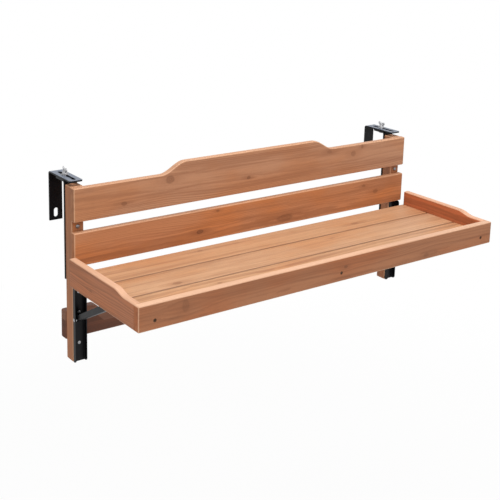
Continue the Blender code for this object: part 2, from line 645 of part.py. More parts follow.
def build_brackets(posts, slats, fold):
    """Both folding brackets: post channel, support arm, strut, and the pins that join them."""
    channels, arms, rivet_bores = [], [], []
    half_pin = CHANNEL_WIDTH / 2 + SEAT
    hinge_pin = cross_pin_mesh("hinge_pin", half_pin, HINGE_PIN_RADIUS, HINGE_HEAD_RADIUS)
    strut_rivet = cross_pin_mesh("strut_rivet", half_pin, STRUT_RIVET_RADIUS, STRUT_RIVET_HEAD_RADIUS)
    spacer_length = (CHANNEL_WIDTH - STRUT_WIDTH) / 2 - CHANNEL_WALL - 2 * SEAT
    spacer = rod_mesh("strut_spacer", SPACER_RADIUS, spacer_length)
    spacers = []
    for side, word in SIDES.items():
        x = side * POST_X
        hinge, rivet = (x, HINGE_Y, HINGE_Z), (x, STRUT_Y, STRUT_Z)
        channel, sheath = sheet_channel("post_channel_" + word, CHANNEL_WIDTH, CHANNEL_WALL, 0.0, -1,
                                        channel_side(), (x, CHANNEL_REAR, 0.0))
        channels.append(channel)
        drill([channel], "channel_hinge_hole_" + word,
              [(hinge, (1, 0, 0), HINGE_PIN_RADIUS + HOLE_PLAY)])
        rivet_bores.append((rivet, (1, 0, 0), STRUT_RIVET_RADIUS + HOLE_PLAY))
        add_object("hinge_pin_" + word, hinge_pin, ZINC, hinge, ALONG_X)
        add_object("strut_rivet_" + word, strut_rivet, ZINC, rivet, ALONG_X)
        for end, place in ((-1, "outer" if side < 0 else "inner"), (1, "inner" if side < 0 else "outer")):
            middle = x + end * (STRUT_WIDTH / 2 + SEAT + spacer_length / 2)
            spacers.append(add_object(f"strut_spacer_{word}_{place}", spacer, ZINC,
                                      (middle - spacer_length / 2, STRUT_Y, STRUT_Z), ALONG_X))

        arm, sheath = sheet_channel("support_arm_" + word, ARM_WIDTH, ARM_WALL, ARM_TOP - HINGE_Z, -1,
                                    arm_side(), hinge, AS_FRONT_VIEW)
        arms.append(arm)
        rest, lock = (-SLOT_DROP, SLOT_REST), (NOTCH_HEIGHT - SLOT_DROP, SLOT_REST)
        slot_end = (-SLOT_DROP, SLOT_FRONT)
        notch = side_cutter(arm, "rest_notch_" + word, slot_outline(rest, lock, SLOT_WIDTH))
        slot = side_cutter(arm, "slider_slot_" + word, slot_outline(rest, slot_end, SLOT_WIDTH))
        combine(arm, notch)
        combine(arm, slot)
        attach([arm, sheath, notch, slot], fold)
        drill([arm], "arm_hinge_hole_" + word, [(hinge, (1, 0, 0), HINGE_PIN_RADIUS + HOLE_PLAY)], fold)
        build_strut(word, Vector(rivet))
    drill([*channels, *spacers], "rivet_holes", rivet_bores)
    for mesh in (hinge_pin, strut_rivet, spacer):
        shade_round(mesh)

    heights = {"lower": CHANNEL_FOOT + CHANNEL_SCREW_ABOVE_FOOT,
               "middle": STRUT_Z + CHANNEL_SCREW_ABOVE_RIVET,
               "upper": HINGE_Z - CHANNEL_SCREW_BELOW_HINGE}
    spots = [(f"channel_screw_{word}_{level}", (side * POST_X, CHANNEL_FRONT, z), (0, 1, 0))
             for side, word in SIDES.items() for level, z in heights.items()]
    wood_screws(spots, CHANNEL_SCREW_LENGTH, [*channels, *posts])
    ends = {"rear": TRAY_SLAT_MIDDLES[0], "front": TRAY_SLAT_MIDDLES[-1]}
    spots = [(f"arm_screw_{word}_{end}", (side * POST_X, y, ARM_TOP - ARM_WALL), (0, 0, 1))
             for side, word in SIDES.items() for end, y in ends.items()]
    wood_screws(spots, ARM_SCREW_LENGTH, [*arms, slats[0], slats[-1]], fold)


def build_strut(word, rivet):
    """One strut with its slider pin, on an empty at its rivet."""
    swing = joint_empty("strut_axis_" + word, rivet)
    slope = REST_SLOPE - STRUT_TILT
    strut, sheath = sheet_channel("strut_" + word, STRUT_WIDTH, STRUT_WALL, -STRUT_BACK, 1, strut_side(),
                                  rivet, (math.pi / 2 - slope, 0.0, 0.0))
    reach = STRUT_LENGTH * Vector((0.0, -math.cos(REST_SLOPE), math.sin(REST_SLOPE)))
    slider = rivet + reach
    half = ARM_INNER / 2 - SLIDER_PLAY
    mesh = rod_mesh("slider_pin_" + word, SLIDER_RADIUS, 2 * half)
    pin = add_object("slider_pin_" + word, mesh, ZINC, slider - Vector((half, 0.0, 0.0)), ALONG_X)
    shade_round(mesh)
    attach([strut, sheath, pin], swing)
    drill([strut], "strut_pin_holes_" + word,
          [(rivet, (1, 0, 0), STRUT_RIVET_RADIUS + HOLE_PLAY),
           (slider, (1, 0, 0), SLIDER_RADIUS + HOLE_PLAY)], swing)


def bent_bar(reach, foot, far, top, thickness):
    """The side view (y, z) of a flat bar bent into a level flange and an upright leg.

    The flange starts at y = reach, and the leg's far face lies at y = far.
    """
    outer = BAR_BEND + thickness
    heading, end = (1, 0) if far > reach else (-1, 180)
    middle = (far - heading * outer, top - outer)
    return [(reach, top - thickness), *arc(middle, BAR_BEND, 90, end), (far - heading * thickness, foot),
            (far, foot), *arc(middle, outer, end, 90, 2 * CORNER_STEPS), (reach, top)]


def build_straps(posts):
    """The straps behind the posts, with the flanges that carry the hooks, and their fasteners."""
    side_view = bent_bar(STRAP_REACH, STRAP_FOOT, STRAP_FRONT, STRAP_TOP, STRAP_THICKNESS)
    straps = []
    for side, word in SIDES.items():
        name = "post_strap_" + word
        strap = add_object(name, outline_mesh(name, side_view, BAR_WIDTH), STEEL, (side * POST_X, 0.0, 0.0),
                           AS_SIDE_VIEW)
        round_edges(strap, STEEL_ROUND, 1)
        straps.append(strap)

    shank = POST_DEPTH + 2 * SEAT + STRAP_THICKNESS + SEAT + STRAP_NUT_HEIGHT
    bolt = turned_mesh("strap_bolt", [*domed_head(STRAP_BOLT_HEAD_RADIUS, STRAP_BOLT_HEAD_HEIGHT, 0.0),
                                      (0.0, STRAP_BOLT_RADIUS), (shank, STRAP_BOLT_RADIUS)], SMALL_SIDES)
    shade_round(bolt)
    nut = rod_mesh("strap_nut", STRAP_NUT_WIDTH / math.sqrt(3), STRAP_NUT_HEIGHT, HEXAGON)
    nuts, bores, spots = [], [], []
    for side, word in SIDES.items():
        x = side * POST_X
        add_object("strap_bolt_" + word, bolt, ZINC, (x, POST_FRONT - SEAT, STRAP_BOLT_Z), ALONG_Y)
        nuts.append(add_object("strap_nut_" + word, nut, ZINC, (x, STRAP_REAR + SEAT, STRAP_BOLT_Z), ALONG_Y))
        bores.append(((x, POST_FRONT, STRAP_BOLT_Z), (0, 1, 0), STRAP_BOLT_RADIUS + HOLE_PLAY))
        spots.append(("strap_screw_" + word, (x, STRAP_REAR, STRAP_FOOT + STRAP_SCREW_INSET), (0, -1, 0)))
    drill([*posts, *straps, *nuts], "strap_bolt_holes", bores)
    bore = HOOK_BOLT_RADIUS + HOLE_PLAY
    drill(straps, "hook_bolt_holes",
          [((side * POST_X, HOOK_BOLT_BACK, STRAP_TOP), (0, 0, 1), bore) for side in SIDES])
    wood_screws(spots, STRAP_SCREW_LENGTH, [*straps, *posts])


def build_hooks():
    """The two hooks that slide on their straps, with bolts, washers and wing nuts."""
    side_view = bent_bar(HOOK_FRONT, HOOK_FOOT, HOOK_REAR, HOOK_TOP, HOOK_THICKNESS)
    half_bar = BAR_WIDTH / 2 + SEAT
    corner_x, corner_y = half_bar - HOOK_CORNER, HOOK_FRONT - SEAT - HOOK_BOLT_BACK + HOOK_CORNER
    plan = [*arc((-corner_x, corner_y), HOOK_CORNER, 180, 270),
            *arc((corner_x, corner_y), HOOK_CORNER, 270, 360), (half_bar, HOOK_REAR), (-half_bar, HOOK_REAR)]
    half_slot = PLATE_SLOT_WIDTH / 2
    plate_slot = slot_outline((0.0, PLATE_SLOT_FRONT + half_slot - HOOK_BOLT_BACK),
                              (0.0, PLATE_SLOT_REAR - half_slot - HOOK_BOLT_BACK), PLATE_SLOT_WIDTH)
    leg_low = HOOK_FOOT + LEG_SLOT_INSET + LEG_SLOT_WIDTH / 2 - HOOK_UNDER
    leg_slot = slot_outline((0.0, leg_low), (0.0, leg_low + LEG_SLOT_LENGTH - LEG_SLOT_WIDTH), LEG_SLOT_WIDTH)
    for side, word in SIDES.items():
        place = Vector((side * POST_X, HOOK_BOLT_BACK, HOOK_UNDER))
        slide = joint_empty("hook_slide_" + word, place)
        local = [(y - place.y, z - place.z) for y, z in side_view]
        hook = add_object("hook_" + word, outline_mesh("hook_" + word, local, BAR_WIDTH), STEEL, place,
                          AS_SIDE_VIEW)
        round_corners = add_object("hook_plan_" + word, outline_mesh("hook_plan", plan, 4 * HOOK_DROP),
                                   None, place)
        through_plate = add_object("plate_slot_" + word, outline_mesh("plate_slot", plate_slot, THROUGH),
                                   None, place)
        through_leg = add_object("leg_slot_" + word, outline_mesh("leg_slot", leg_slot, THROUGH), None,
                                 (place.x, HOOK_GRIP, place.z), AS_FRONT_VIEW)
        combine(hook, round_corners, "INTERSECT")
        round_edges(hook, STEEL_ROUND, 1)
        combine(hook, through_plate)
        combine(hook, through_leg)
        attach([hook, round_corners, through_plate, through_leg], slide)
        build_hook_bolt(word, place.x)


def build_hook_bolt(word, x):
    """A hexagon bolt from below, the washer on the hook and the wing nut."""
    head_top = STRAP_UNDER - SEAT
    foot = (x, HOOK_BOLT_BACK, head_top - HOOK_BOLT_HEAD_HEIGHT)
    head = rod_mesh("hook_bolt", HOOK_BOLT_HEAD_WIDTH / math.sqrt(3), HOOK_BOLT_HEAD_HEIGHT, HEXAGON)
    bolt = add_object("hook_bolt_" + word, head, ZINC, foot)
    length = HOOK_TOP + HOOK_BOLT_STANDOUT - foot[2]
    shank_profile = [(HOOK_BOLT_HEAD_HEIGHT / 2, HOOK_BOLT_RADIUS),
                     (length - HOOK_BOLT_CHAMFER, HOOK_BOLT_RADIUS),
                     (length, HOOK_BOLT_RADIUS - HOOK_BOLT_CHAMFER)]
    shank = add_object("hook_bolt_shank_" + word, turned_mesh("hook_bolt_shank", shank_profile), None, foot)
    combine(bolt, shank, "UNION")

    washer = add_object("hook_washer_" + word, rod_mesh("hook_washer", WASHER_RADIUS, WASHER_THICKNESS),
                        ZINC, (x, HOOK_BOLT_BACK, WASHER_FOOT))
    shade_round(washer.data)
    nut = build_wing_nut(word, (x, HOOK_BOLT_BACK, NUT_FOOT))
    drill([washer, nut], "nut_bore_" + word,
          [((x, HOOK_BOLT_BACK, NUT_FOOT), (0, 0, 1), HOOK_BOLT_RADIUS + HOLE_PLAY)])


def build_wing_nut(word, place):
    """A wing nut: a tapered body joined with two round-eared wings."""
    body = turned_mesh("wing_nut_" + word, [(0.0, NUT_RADIUS), (NUT_HEIGHT, NUT_TOP_RADIUS)])
    nut = add_object("wing_nut_" + word, body, ZINC, place)
    ear = (WING_SPAN / 2 - WING_EAR_RADIUS, WING_HEIGHT - WING_EAR_RADIUS)
    half = [(WING_NECK, WING_FOOT), *arc(ear, WING_EAR_RADIUS, *WING_EAR_ARC, 2 * CORNER_STEPS),
            (WING_NECK, NUT_HEIGHT - WING_FOOT)]
    wings = half + [(-px, pz) for px, pz in reversed(half)]
    blade = add_object("wings_" + word, outline_mesh("wings", wings, WING_THICKNESS), None, place,
                       (*AS_FRONT_VIEW[:2], WING_TURN))
    combine(nut, blade, "UNION")
    return nut


def build_table():
    """Builds the whole table."""
    posts = build_posts_and_rail()
    build_back_slats()
    fold = joint_empty("tray_fold_axis", (0.0, HINGE_Y, HINGE_Z))
    slats = build_tray(fold)
    build_brackets(posts, slats, fold)
    build_straps(posts)
    build_hooks()


build_table()
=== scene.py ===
"""Looks of the folding hanging table: stained softwood, black coated steel and bright zinc.

Metres, +X along the table, +Y to the wall or railing, +Z up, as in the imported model. Each wooden
board is sawn again with finer edges and gets a grain of its own, the fasteners get their threads and
drives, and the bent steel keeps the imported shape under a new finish.
"""

import json
import logging
import math
from dataclasses import dataclass, field
from enum import Enum
from typing import Callable, List, Optional, Sequence, Tuple, Union

import bmesh
import bpy
from mathutils import Matrix, Vector

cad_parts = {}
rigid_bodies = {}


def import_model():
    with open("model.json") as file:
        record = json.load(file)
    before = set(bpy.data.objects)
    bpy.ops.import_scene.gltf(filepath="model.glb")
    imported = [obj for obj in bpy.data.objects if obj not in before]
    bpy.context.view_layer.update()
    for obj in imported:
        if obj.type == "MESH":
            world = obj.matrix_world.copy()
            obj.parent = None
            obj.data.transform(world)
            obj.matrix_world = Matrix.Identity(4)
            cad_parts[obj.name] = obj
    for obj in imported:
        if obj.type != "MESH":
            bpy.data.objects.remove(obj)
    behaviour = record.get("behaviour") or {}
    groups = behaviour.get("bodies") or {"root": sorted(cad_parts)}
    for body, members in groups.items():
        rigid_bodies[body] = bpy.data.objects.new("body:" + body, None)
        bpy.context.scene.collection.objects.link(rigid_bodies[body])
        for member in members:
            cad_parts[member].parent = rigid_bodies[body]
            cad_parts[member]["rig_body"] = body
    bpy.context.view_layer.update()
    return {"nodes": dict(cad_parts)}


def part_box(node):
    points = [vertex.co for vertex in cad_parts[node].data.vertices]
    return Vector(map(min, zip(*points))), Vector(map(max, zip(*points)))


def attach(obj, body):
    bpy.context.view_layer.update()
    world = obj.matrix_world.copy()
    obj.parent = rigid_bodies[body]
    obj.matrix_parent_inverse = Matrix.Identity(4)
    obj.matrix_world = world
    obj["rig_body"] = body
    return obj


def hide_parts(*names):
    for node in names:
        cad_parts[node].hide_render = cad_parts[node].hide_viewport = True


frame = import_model()

LOG = logging.getLogger("folding_table")
Colour = Tuple[float, float, float]
Point2 = Tuple[float, float]
Operand = Union["Signal", float]
Thing = bpy.types.Object
Finish = bpy.types.Material
SIDES = ("left", "right")

X_AXIS = Vector((1.0, 0.0, 0.0))
Y_AXIS = Vector((0.0, 1.0, 0.0))
Z_AXIS = Vector((0.0, 0.0, 1.0))


class Signal:
    """A node socket in an expression. Arithmetic on it adds Math nodes."""

    def __init__(self, graph: "Graph", socket: bpy.types.NodeSocket) -> None:
        """Wraps a socket of a graph."""
        self.graph = graph
        self.socket = socket

    def math(self, operation: str, *others: Operand) -> "Signal":
        """A Math node on this value.

        Args:
            operation: the node's operation.
            others: its other inputs, in order.

        Returns:
            The node's value.
        """
        return self.graph.math(operation, self, *others)

    def __add__(self, other: Operand) -> "Signal":
        """self + other."""
        return self.math("ADD", other)

    def __radd__(self, other: float) -> "Signal":
        """other + self."""
        return self.graph.math("ADD", other, self)

    def __sub__(self, other: Operand) -> "Signal":
        """self - other."""
        return self.math("SUBTRACT", other)

    def __rsub__(self, other: float) -> "Signal":
        """other - self."""
        return self.graph.math("SUBTRACT", other, self)

    def __mul__(self, other: Operand) -> "Signal":
        """self * other."""
        return self.math("MULTIPLY", other)

    def __rmul__(self, other: float) -> "Signal":
        """other * self."""
        return self.graph.math("MULTIPLY", other, self)

    def __truediv__(self, other: Operand) -> "Signal":
        """self / other."""
        return self.math("DIVIDE", other)

    def __rtruediv__(self, other: float) -> "Signal":
        """other / self."""
        return self.graph.math("DIVIDE", other, self)

    def __abs__(self) -> "Signal":
        """The value without its sign."""
        return self.math("ABSOLUTE")

    def smooth(self, start: float, end: float) -> "Signal":
        """A smooth step from 0 at start to 1 at end, which may be the lower of the two."""
        return self.graph.node("ShaderNodeMapRange", {"interpolation_type": "SMOOTHSTEP"},
                               {"Value": self, "From Min": start, "From Max": end})


class Graph:
    """The node tree of one material or world, with short ways to add nodes."""

    def __init__(self, tree: bpy.types.NodeTree) -> None:
        """Empties the tree."""
        self.tree = tree
        tree.nodes.clear()

    def node(self, kind: str, settings: Optional[dict] = None, inputs: Optional[dict] = None,
             output: Union[int, str] = 0) -> Signal:
        """Adds any node.

        Args:
            kind: the node's type.
            settings: its properties, such as a Math node's operation, which are set first.
            inputs: values or links of its sockets, by name or number.
            output: the socket that is returned.

        Returns:
            That output.
        """
        made = self.tree.nodes.new(kind)
        for name, value in (settings or {}).items():
            setattr(made, name, value)
        for key, value in (inputs or {}).items():
            if isinstance(value, Signal):
                self.tree.links.new(value.socket, made.inputs[key])
            else:
                made.inputs[key].default_value = value
        return Signal(self, made.outputs[output] if made.outputs else made.inputs[0])

    def math(self, operation: str, *values: Operand) -> Signal:
        """A Math node on values."""
        return self.node("ShaderNodeMath", {"operation": operation}, dict(enumerate(values)))

    def vector(self, *parts: Operand) -> Signal:
        """Joins three values into a vector."""
        return self.node("ShaderNodeCombineXYZ", None, dict(enumerate(parts)))

    def parts(self, vector: Signal) -> List[Signal]:
        """Splits a vector into its three values."""
        split = self.node("ShaderNodeSeparateXYZ", None, {0: vector})
        return [Signal(self, socket) for socket in split.socket.node.outputs]

    def noise(self, place: Signal, scale: float, detail: float = 2.0, roughness: float = 0.5) -> Signal:
        """Fractal noise from 0 to 1, mostly near 0.5."""
        return self.node("ShaderNodeTexNoise", None,
                         {"Vector": place, "Scale": scale, "Detail": detail, "Roughness": roughness})

    def mix(self, share: Operand, first: Union[Signal, Colour], second: Union[Signal, Colour],
            blend: str = "MIX") -> Signal:
        """Mixes two colours.

        Args:
            share: how much of the second, from 0 to 1.
            first: a colour or a link.
            second: a colour or a link.
            blend: the Mix node's blend type.

        Returns:
            The mixed colour.
        """
        colours = [c if isinstance(c, Signal) else (*c, 1.0) for c in (first, second)]
        return self.node("ShaderNodeMix", {"data_type": "RGBA", "blend_type": blend},
                         {0: share, 6: colours[0], 7: colours[1]}, 2)

    def grey(self, value: Signal) -> Signal:
        """A value as a grey colour."""
        return self.mix(value, (0.0, 0.0, 0.0), (1.0, 1.0, 1.0))

    def surface(self, shader: Signal) -> None:
        """Links a shader to the material's output."""
        self.node("ShaderNodeOutputMaterial", None, {"Surface": shader})


def new_material(name: str) -> Tuple[Finish, Graph]:
    """Makes an empty node material.

    Args:
        name: the material's name.

    Returns:
        The material and its graph.
    """
    material = bpy.data.materials.new(name)
    material.use_nodes = True
    return material, Graph(material.node_tree)


@dataclass(frozen=True)
class Figure:
    """A pattern in the wood: how often it changes in a metre along and across the grain."""

    along: float
    across: float
    detail: float
    roughness: float = 0.5
    seeded: int = 0

    def noise(self, g: Graph, seed: float, spot: Sequence[Signal]) -> Signal:
        """The pattern's noise at a place in the board.

        Args:
            g: the material's graph.
            seed: the board's seed, which shifts the pattern along the seeded axis.
            spot: the place along, across and through the board.

        Returns:
            A value from 0 to 1, mostly near 0.5.
        """
        scaled = [part * scale for part, scale in zip(spot, (self.along, self.across, self.across))]
        scaled[self.seeded] = scaled[self.seeded] + seed
        return g.noise(g.vector(*scaled), 1.0, self.detail, self.roughness)


DRIFT = Figure(2.4, 11.0, 2.0)
WOBBLE = Figure(7.0, 55.0, 3.0, seeded=1)
FIBRE = Figure(26.0, 1500.0, 2.0, 0.6, seeded=2)
PORE = Figure(60.0, 2600.0, 1.0)
STREAK = Figure(2.3, 58.0, 4.0, 0.62, seeded=1)
BAND = Figure(1.5, 15.0, 2.0)
CLOUD = Figure(3.1, 8.0, 3.0, 0.55)
BLOT = Figure(14.0, 26.0, 4.0, 0.6, seeded=1)


class Grain(Enum):
    """Which way a board lies: its axes along the grain, across its face and through it."""

    UPRIGHT_ALONG_X = (0, 2, 1)
    FLAT_ALONG_X = (0, 1, 2)
    UPRIGHT_ALONG_Y = (1, 2, 0)
    FLAT_ALONG_Y = (1, 0, 2)
    POST = (2, 0, 1)


@dataclass(frozen=True)
class Knot:
    """A knot: its place along and across the board in the table's frame, its radius and its look.

    A stretch below 1 draws it out along the grain, and shade says how dark it is.
    """

    along: float
    across: float
    radius: float
    stretch: float = 0.62
    shade: float = 0.60


@dataclass(frozen=True)
class Shoulder:
    """Where a board's upper edge steps: the places at which it is low and high, and both heights."""

    low_at: float
    high_at: float
    low: float
    high: float


@dataclass(frozen=True)
class StainedWood:
    """Stained softwood: growth rings, streaks, knots, end grain, edges rubbed light or, on the tray slats,
    darkened by pooled stain and painted shade, and up-facing faces lighter by rubbed stain and a painted
    highlight.
    """

    name: str
    seed: float
    early: Colour = (0.44, 0.185, 0.086)
    late: Colour = (0.200, 0.072, 0.030)
    glow: Colour = (0.52, 0.185, 0.062)
    # The colour of the free edges and up-facing faces: rubbed wear and a painted highlight, on the tray slats
    # pooled stain and painted shade.
    wear_and_painted_light: Colour = (0.74, 0.43, 0.26)
    knot: Colour = (0.070, 0.026, 0.013)
    pith: Point2 = (0.015, 0.055)
    ring: float = 0.0030
    contrast: float = 0.58
    # How much up-facing faces take the edge colour: rubbed stain and a painted highlight.
    top_rub_and_highlight: float = 0.34
    end_tint: Colour = (0.85, 0.80, 0.76)
    knots: Tuple[Knot, ...] = ()

    def material(self, low: Vector, high: Vector, grain: Grain, shoulders: Sequence[Shoulder] = (),
                 butts: Sequence[Tuple[int, int]] = ()) -> Finish:
        """The finish of one board.

        Args:
            low: the board's lowest corner.
            high: its highest corner.
            grain: which way it lies.
            shoulders: the steps of its upper edge.
            butts: the sides, as (axis, -1 or 1), that meet another board and get no edge colour.

        Returns:
            The material.
        """
        material, g = new_material(self.name)
        place = g.node("ShaderNodeTexCoord", None, None, "Object")
        normal = g.node("ShaderNodeTexCoord", None, None, "Normal")
        xyz, facing = g.parts(place), g.parts(normal)
        length, width, depth = grain.value
        middle = (low + high) / 2
        along = xyz[length] - middle[length]
        across = xyz[width] - middle[width]
        through = xyz[depth] - middle[depth]
        end = abs(facing[length]).smooth(0.55, 0.85)

        spot = (along, across, through)
        drift = DRIFT.noise(g, self.seed, spot) - 0.5
        ragged = g.noise(g.vector(along * 110.0, across * 190.0, through * 60.0), 1.0, 3.0, 0.6) - 0.5
        halo, push, core, bark, heart = self._knots(along, across, middle, length, width,
                                                    drift * 1.1 + ragged * 0.75)
        u = across - self.pith[0] + drift * 0.036 - push
        v = through - self.pith[1]
        wobble = WOBBLE.noise(g, self.seed, spot) - 0.5
        phase = ((u * u + v * v).math("SQRT") + wobble * (self.ring * 0.9)) / self.ring
        year = phase.math("FLOOR")
        share = phase - year
        strength = g.node("ShaderNodeTexWhiteNoise", {"noise_dimensions": "1D"}, {"W": year + self.seed})
        late = share.smooth(0.30, 0.92) * share.smooth(1.0, 0.94) * (0.30 + strength * 0.70)

        fibre, pore, streak, band, cloud, blot = (
            figure.noise(g, self.seed, spot) for figure in (FIBRE, PORE, STREAK, BAND, CLOUD, BLOT))
        open_pore = pore.smooth(0.60, 0.72)

        colour = g.mix(cloud.smooth(0.42, 0.66), self.early, self.glow)
        colour = g.mix(streak.smooth(0.56, 0.34) * 0.42, colour, self.late)
        colour = g.mix(late * (self.contrast * (0.45 + band * 0.9)), colour, self.late)
        colour = g.mix(1.0, colour, g.grey(0.50 + band * 0.56 + blot * 0.38 + streak * 0.16), "MULTIPLY")
        colour = g.mix(1.0, colour, g.grey(0.86 + fibre * 0.24), "MULTIPLY")
        colour = g.mix(open_pore * (1.0 - end) * 0.30, colour, self.late)
        colour = g.mix(end, colour, self.end_tint, "MULTIPLY")
        colour = g.mix(halo, colour, self.late)
        colour = g.mix(core, colour, g.mix(heart, self.knot, self.late))
        colour = g.mix(bark, colour, self.knot)
        # Free edges take the edge colour: rubbed wear on most boards, pooled stain and painted shade in the
        # tray slats' gaps. Up-facing faces take it too: rubbed stain and a painted highlight.
        edge_wear_and_shade = self._edge(xyz, low, high, grain, shoulders, butts) * (0.35 + streak * 0.8) * (1.0 - core)
        top = facing[2].smooth(0.70, 0.95) * (self.top_rub_and_highlight * (0.5 + streak))
        colour = g.mix(edge_wear_and_shade.math("MAXIMUM", top), colour, self.wear_and_painted_light)

        rough = 0.44 + fibre * 0.10 + cloud * 0.10 + end * 0.16 - edge_wear_and_shade * 0.06
        pits = open_pore * 0.3 + core * 0.3 + bark * 0.4
        height = fibre * 0.45 + late * 0.55 + streak * 0.2 - pits
        bump = g.node("ShaderNodeBump", None, {"Height": height, "Strength": 0.40, "Distance": 0.0003})
        g.surface(g.node("ShaderNodeBsdfPrincipled", None,
                         {"Base Color": colour, "Roughness": rough, "Normal": bump, "IOR": 1.38}))
        return material

    def _knots(self, along: Signal, across: Signal, middle: Vector, length: int, width: int,
               ragged: Signal) -> Tuple[Operand, Operand, Operand, Operand, Operand]:
        """What the board's knots do to its figure.

        Args:
            along: the place along the board, from its middle.
            across: the place across it, from its middle.
            middle: the board's middle in the table's frame.
            length: the axis along the grain.
            width: the axis across it.
            ragged: noise that roughens the knots' outlines.

        Returns:
            The halo round the knots, their push on the growth rings, their discs, their dark rims and
            the rings inside the discs.
        """
        halo, push, core, bark, heart = 0.0, 0.0, 0.0, 0.0, 0.0
        for knot in self.knots:
            size, shade = knot.radius, knot.shade
            dx = along - (knot.along - middle[length])
            dy = across - (knot.across - middle[width])
            sx, ex = dx * knot.stretch, dx * (knot.stretch * 0.42)
            square = dy * dy
            distance = (sx * sx + square).math("SQRT") * (1.0 + ragged)
            eye = (ex * ex + square).math("SQRT") * (1.0 + ragged)
            halo = eye.smooth(size * 2.6, size * 0.3) * (shade * 0.85) + halo
            push = eye.smooth(size * 5.0, size * 0.4) * (dy / (abs(dy) + size * 0.7)) * (size * 1.3) + push
            disc = distance.smooth(size * 1.25, size * 0.60)
            core = disc * shade + core
            rim = distance.smooth(size * 0.60, size * 0.98) * distance.smooth(size * 1.40, size)
            bark = rim * (shade * shade * 0.9) + bark
            heart = disc * ((distance * (13.0 / size)).math("SINE") * 0.25 + 0.50) + heart
        return halo, push, core, bark, heart

    @staticmethod
    def _edge(xyz: Sequence[Signal], low: Vector, high: Vector, grain: Grain, shoulders: Sequence[Shoulder],
              butts: Sequence[Tuple[int, int]]) -> Signal:
        """Where the board's free edges are.

        Args:
            xyz: the place in the table's frame.
            low: the board's lowest corner.
            high: its highest corner.
            grain: which way it lies.
            shoulders: the steps of its upper edge.
            butts: the sides that meet another board and have no free edge.

        Returns:
            1 along the free edges and 0 a few millimetres away from them.
        """
        length, width, depth = grain.value
        low, high = low.copy(), high.copy()
        for axis, way in butts:
            (low if way < 0 else high)[axis] += 0.02 * way
        top: Operand = high[width]
        if shoulders:
            top = min(s.low for s in shoulders)
            for s in shoulders:
                top = xyz[length].smooth(s.low_at, s.high_at) * (s.high - s.low) + top
            if len(shoulders) == 2:
                top = top - (shoulders[0].high - shoulders[0].low)
        from_end = (xyz[length] - low[length]).math("MINIMUM", high[length] - xyz[length])
        from_face = (xyz[depth] - low[depth]).math("MINIMUM", high[depth] - xyz[depth])
        from_side = (xyz[width] - low[width]).math("MINIMUM", top - xyz[width])
        nearer = from_end.math("MINIMUM", from_side)
        farther = from_end.math("MAXIMUM", from_side)
        second = nearer.math("MAXIMUM", farther.math("MINIMUM", from_face))
        return second.smooth(0.0034, 0.0008)


@dataclass(frozen=True)
class CoatedSteel:
    """Black coating on sheet or bar steel: fine orange peel, faint bluish dust clouds, a painted bluish
    reflection on up-facing faces, rubbed places.
    """

    name: str = "black_coated_steel"
    colour: Colour = (0.0045, 0.0045, 0.0058)
    # The colour of the faint dust clouds and of the painted reflection on up-facing faces.
    dust_and_sheen: Colour = (0.150, 0.170, 0.215)
    roughness: float = 0.30

    def material(self) -> Finish:
        """The finish of all black steel."""
        material, g = new_material(self.name)
        place = g.node("ShaderNodeTexCoord", None, None, "Object")
        facing = g.parts(g.node("ShaderNodeTexCoord", None, None, "Normal"))
        cloud = g.noise(place, 38.0, 4.0, 0.6)
        peel = g.noise(place, 1400.0, 2.0)
        scuff = g.noise(place, 420.0, 5.0, 0.7)
        fleck = g.noise(place, 2600.0, 2.0, 0.7)
        colour = g.mix(cloud.smooth(0.50, 0.80) * 0.06, self.colour, self.dust_and_sheen)
        # Up-facing faces turn light and bluish: a painted reflection of the bright surroundings.
        painted_sheen_on_top = facing[2].smooth(0.90, 0.99) * (0.70 + cloud * 0.6)
        colour = g.mix(painted_sheen_on_top.math("MINIMUM", 1.0), colour, self.dust_and_sheen)
        colour = g.mix(scuff.smooth(0.68, 0.76) * 0.25, colour, (0.12, 0.12, 0.12))
        colour = g.mix(fleck.smooth(0.70, 0.78) * 0.20, colour, (0.10, 0.10, 0.10))
        rough = self.roughness + cloud * 0.14 + scuff.smooth(0.6, 0.75) * 0.15
        bump = g.node("ShaderNodeBump", None, {"Height": peel, "Strength": 0.14, "Distance": 0.0002})
        g.surface(g.node("ShaderNodeBsdfPrincipled", None,
                         {"Base Color": colour, "Roughness": rough, "Normal": bump, "IOR": 1.26}))
        return material


@dataclass(frozen=True)
class ZincPlate:
    """Zinc plating with faint clouds, turning marks and dull spots."""

    name: str = "bright_zinc"
    colour: Colour = (0.52, 0.52, 0.53)
    dull: Colour = (0.26, 0.26, 0.27)
    roughness: float = 0.26

    def material(self) -> Finish:
        """The finish of a kind of fastener."""
        material, g = new_material(self.name)
        place = g.node("ShaderNodeTexCoord", None, None, "Object")
        cloud = g.noise(place, 210.0, 3.0, 0.6)
        mark = g.noise(place, 1900.0, 2.0, 0.6)
        spot = g.noise(place, 620.0, 3.0, 0.6)
        colour = g.mix(cloud.smooth(0.40, 0.68), self.colour, self.dull)
        colour = g.mix(spot.smooth(0.62, 0.72) * 0.5, colour, self.dull)
        rough = self.roughness + cloud * 0.20 + mark * 0.08 + spot.smooth(0.6, 0.7) * 0.12
        bump = g.node("ShaderNodeBump", None, {"Height": mark, "Strength": 0.2, "Distance": 0.0001})
        g.surface(g.node("ShaderNodeBsdfPrincipled", None,
                         {"Base Color": colour, "Metallic": 1.0, "Roughness": rough, "Normal": bump}))
        return material


def arc(centre: Point2, radius: float, start: float, end: float, steps: int = 10) -> List[Point2]:
    """Points on an arc, angles in degrees."""
    turns = [math.radians(start + (end - start) * i / steps) for i in range(steps + 1)]
    return [(centre[0] + radius * math.cos(t), centre[1] + radius * math.sin(t)) for t in turns]


